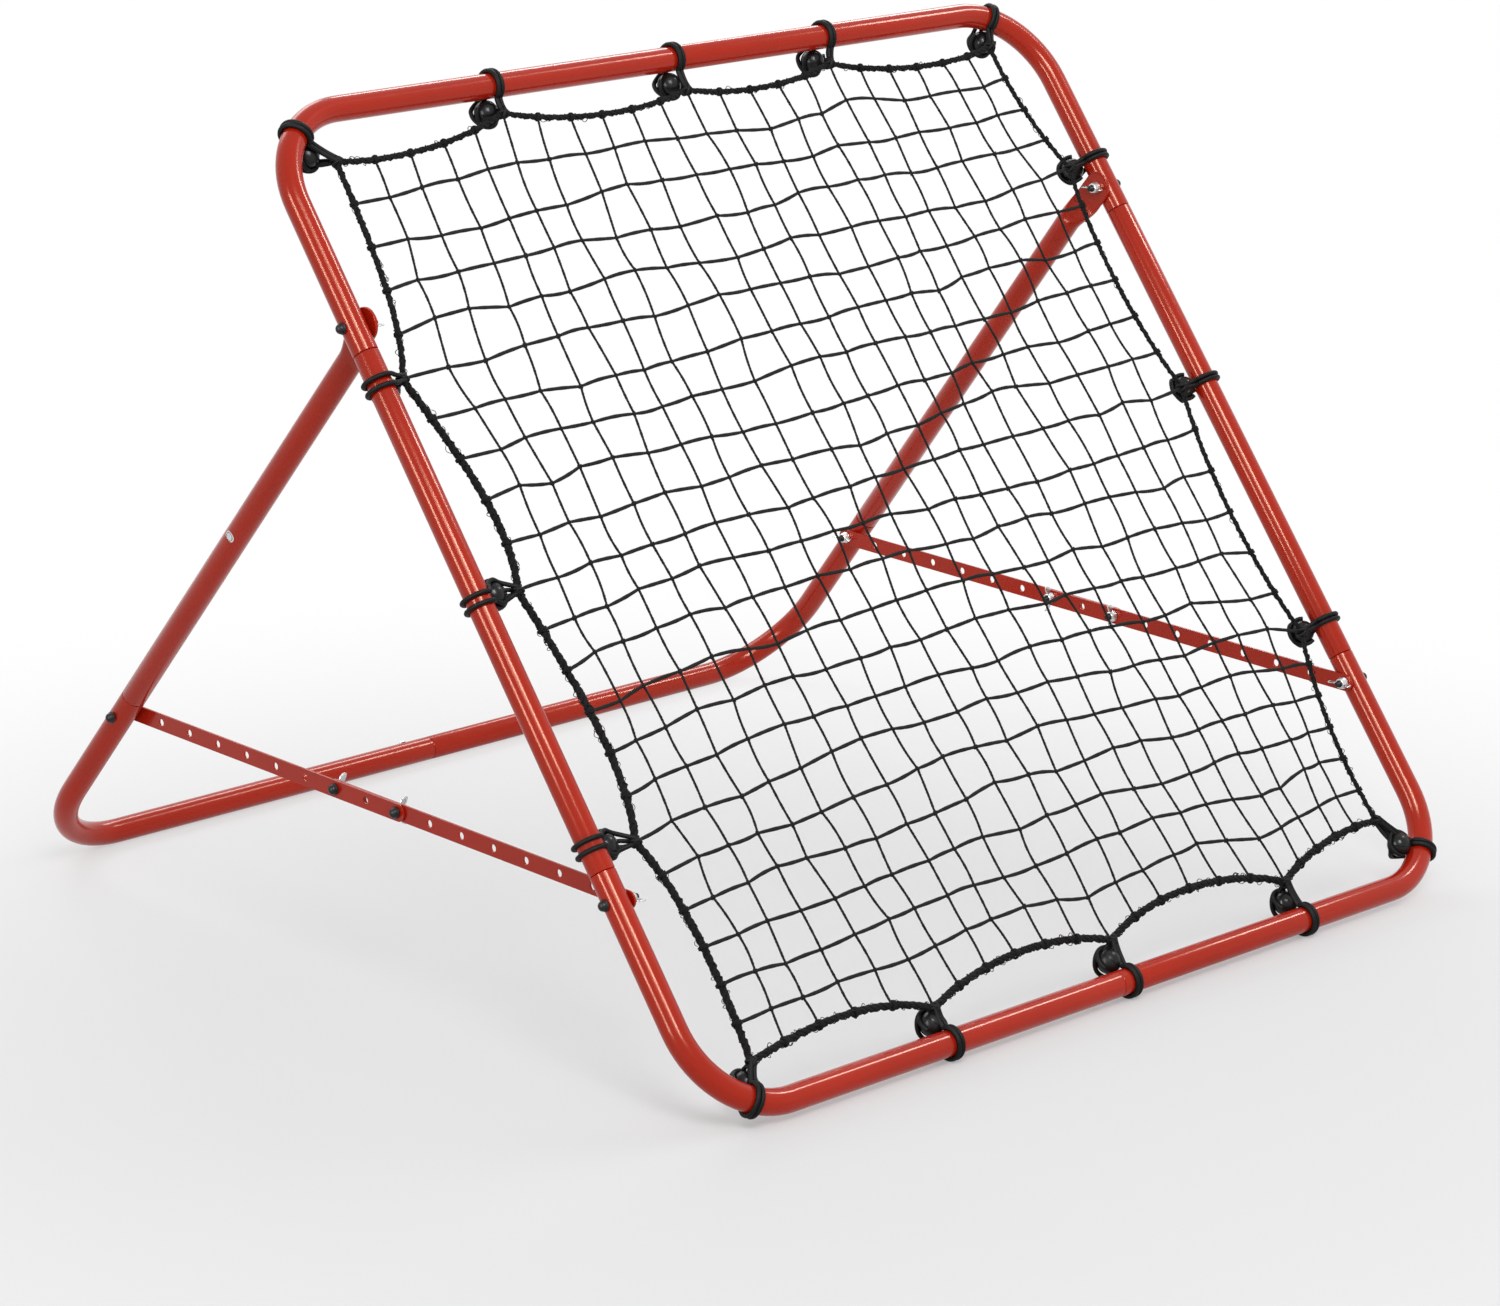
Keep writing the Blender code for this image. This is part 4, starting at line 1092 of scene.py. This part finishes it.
def ball_mesh(matrix):
    """A moulded ball with a faint seam, whose two cord holes face +X."""
    profile = []
    for step in range(19):
        angle = pi * step / 18 - pi / 2
        radius = BALL_R * cos(angle)
        profile.append((max(0.0, radius) if 0 < step < 18 else 0.0, BALL_R * sin(angle)))
    profile[9:10] = [(BALL_R, -0.0003), (BALL_R - 0.0003, 0.0), (BALL_R, 0.0003)]
    tilt = Matrix.Rotation(0.9, 4, "X") @ Matrix.Rotation(0.35, 4, "Y")
    mesh = turned_mesh("ball", profile[::-1], 32, tilt)
    hole = [(0, 0.006), (0.0022, 0.006), (0.0026, 0.02), (0, 0.02)]
    for y in (-0.0024, 0.0024):
        at = Matrix.Translation((0, y, 0)) @ facing(1)
        mesh = without(mesh, turned_mesh("hole", hole, 16, at))
    mesh.transform(matrix)
    return mesh


# ---- a plain round label on the left leg ----

def label():
    """A plain white dot, bent round the leg tube, with a thin rim."""
    along, turn = 0.291, 3.20  # from the pivot, and round the tube
    middle_x = leg_x(-1, along)
    white = mottled("white_label", (300.0, 3.0), [
        (0.3, (0.70, 0.70, 0.69)), (0.7, (0.80, 0.80, 0.79)),
    ], inputs={"Roughness": 0.42})
    rows, steps = 7, 32
    for name, low, high, lift, material in (
        ("label_dot", 0.0, 0.0058, 0.00012, white), ("label_rim", 0.0038, 0.0043, 0.00018, BLACK),
    ):
        verts = []
        reach = TUBE_R + lift
        for row in range(rows):
            radius = low + (high - low) * row / (rows - 1)
            for angle in circle(steps):
                bend = radius * cos(angle) / TUBE_R + turn
                verts.append((
                    middle_x + reach * cos(bend), along + radius * sin(angle),
                    reach * sin(bend),
                ))
        mesh = bpy.data.meshes.new(name)
        mesh.from_pydata(verts, [], row_faces(rows, steps, capped=False))
        mesh.transform(REAR)
        finished(name, mesh, material, "rear_frame")


# ---- studio ----

def camera():
    """The photograph's view."""
    yaw, pitch, roll = radians(43.180), radians(15.590), radians(0.573)
    sensor = 36
    photo_width, focal, aside, below = 1500, 4831.29, 56.67, 98.17  # in the photo's pixels
    forward = Vector((sin(yaw) * cos(pitch), cos(yaw) * cos(pitch), -sin(pitch)))
    right = Vector((cos(yaw), -sin(yaw), 0))
    up = right.cross(forward)
    rolled = right * cos(roll) + up * sin(roll)
    up = up * cos(roll) - right * sin(roll)
    data = bpy.data.cameras.new("camera")
    data.sensor_fit = "HORIZONTAL"
    data.sensor_width = sensor
    data.lens = sensor * focal / photo_width
    data.shift_x = aside / photo_width
    data.shift_y = -below / photo_width
    data.clip_end = 60
    obj = placed("camera", data)
    axes = Matrix((rolled, up, -forward)).transposed()
    obj.matrix_world = Matrix.Translation((-3.0907, -3.2147, 1.5663)) @ axes.to_4x4()
    bpy.context.scene.camera = obj


def combined(tree, operation, one, other):
    """Two values put together by an operation."""
    made = added(tree, "Math", {0: one, 1: other})
    made.node.operation = operation
    return made


def seen_white(tree):
    """1 for rays from the camera or off a glossy surface, to which the surroundings are white."""
    path = tree.nodes.new("ShaderNodeLightPath").outputs
    return combined(tree, "MAXIMUM", path["Is Camera Ray"], path["Is Glossy Ray"])


def floor():
    """A pale floor that keeps the shadows and runs out to white for the camera.

    It tips about the front rail with the rear frame, so both rails rest on it at every pose.
    """
    made, tree, shader = new_material("studio_floor")
    put(shader, {
        "Base Color": (0.66, 0.66, 0.665, 1), "Roughness": 0.75, "Specular IOR Level": 0.15,
    })
    middle = (-0.3, -0.4 - FRONT_FOOT, 0)  # of the fade, a little left of the front rail's
    far = added(tree, "VectorMath", {0: added(tree, "TexCoord", {}, "Object"), 1: middle}, 1)
    far.node.operation = "DISTANCE"
    fade = added(tree, "MapRange", {
        "From Min": 0.45, "From Max": 1.6, "To Min": 0.30, "To Max": 1.0, "Value": far,
    })
    fade.node.interpolation_type = "SMOOTHSTEP"
    white = added(tree, "Emission", {"Color": (1, 1, 1, 1)})
    share = combined(tree, "MULTIPLY", seen_white(tree), fade)
    surface = added(tree, "MixShader", {"Fac": share, 1: shader.outputs[0], 2: white})
    put(tree.nodes["Material Output"], {"Surface": surface})
    mesh = bpy.data.meshes.new("floor")
    corners = [(-30, -30, 0), (30, -30, 0), (30, 30, 0), (-30, 30, 0)]
    mesh.from_pydata(corners, [], [(0, 1, 2, 3)])
    mesh.materials.append(made)
    obj, foot = placed("floor", mesh), placed("rear_foot", None)
    obj.location = (0, FRONT_FOOT, 0)
    foot.location = (0, REAR_FOOT, 0)
    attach(foot, "rear_frame")
    tip = obj.constraints.new("DAMPED_TRACK")
    tip.target = foot
    tip.track_axis = "TRACK_Y"


def lamp(name, at, size, power, along=(0, 0, 1), diffuse=True, glossy=True):
    """An area lamp that faces the part, its second side along a direction."""
    data = bpy.data.lights.new(name, "AREA")
    data.shape = "RECTANGLE"
    data.size, data.size_y = size
    data.energy = power
    obj = placed(name, data)
    back = (Vector(at) - Vector((0, 0, 0.3))).normalized()
    long_side = Vector(along) - back * back.dot(Vector(along))
    long_side.normalize()
    axes = Matrix((long_side.cross(back), long_side, back)).transposed()
    obj.matrix_world = Matrix.Translation(at) @ axes.to_4x4()
    obj.visible_diffuse = diffuse
    obj.visible_glossy = glossy


def studio():
    """Plain white surroundings, broad lamps, and strips that only draw the tubes' highlights."""
    world = bpy.data.worlds.new("studio")
    world.use_nodes = True
    tree = world.node_tree
    back = tree.nodes["Background"]
    put(back, {"Color": (1, 1, 1, 1), "Strength": 0.60})
    seen = added(tree, "Background", {"Color": (1, 1, 1, 1), "Strength": 1.0})
    surface = added(tree, "MixShader", {"Fac": seen_white(tree), 1: back.outputs[0], 2: seen})
    put(tree.nodes["World Output"], {"Surface": surface})
    bpy.context.scene.world = world
    up_the_frame = (0, cos(LEAN), sin(LEAN))
    lamp("key", (-1.6, -2.4, 3.2), (1.6, 1.6), 66)
    lamp("fill", (2.8, -1.6, 2.0), (2.0, 2.0), 30, glossy=False)
    lamp("back", (0.4, 3.0, 2.6), (2.4, 1.6), 36)
    lamp("strip_left", (-3.13, -0.26, 1.42), (0.60, 1.9), 72, up_the_frame, False)
    lamp("strip_front", (-1.0, -2.15, 2.6), (0.55, 1.5), 62, up_the_frame, False)
    lamp("strip_right", (2.45, -0.75, 2.9), (0.40, 0.7), 26, (1, 0, 0), False)
    lamp("strip_rear", (2.1, 1.75, 2.3), (0.50, 1.5), 26, (1, 0, 0), False)
    bpy.context.scene.view_settings.view_transform = "Standard"


camera()
studio()
floor()
front_tubes()
rear_tubes()
struts()
fasteners()
rail_screws()
border_rope()
net()
for place in PLACES:
    tie(*place)
label()
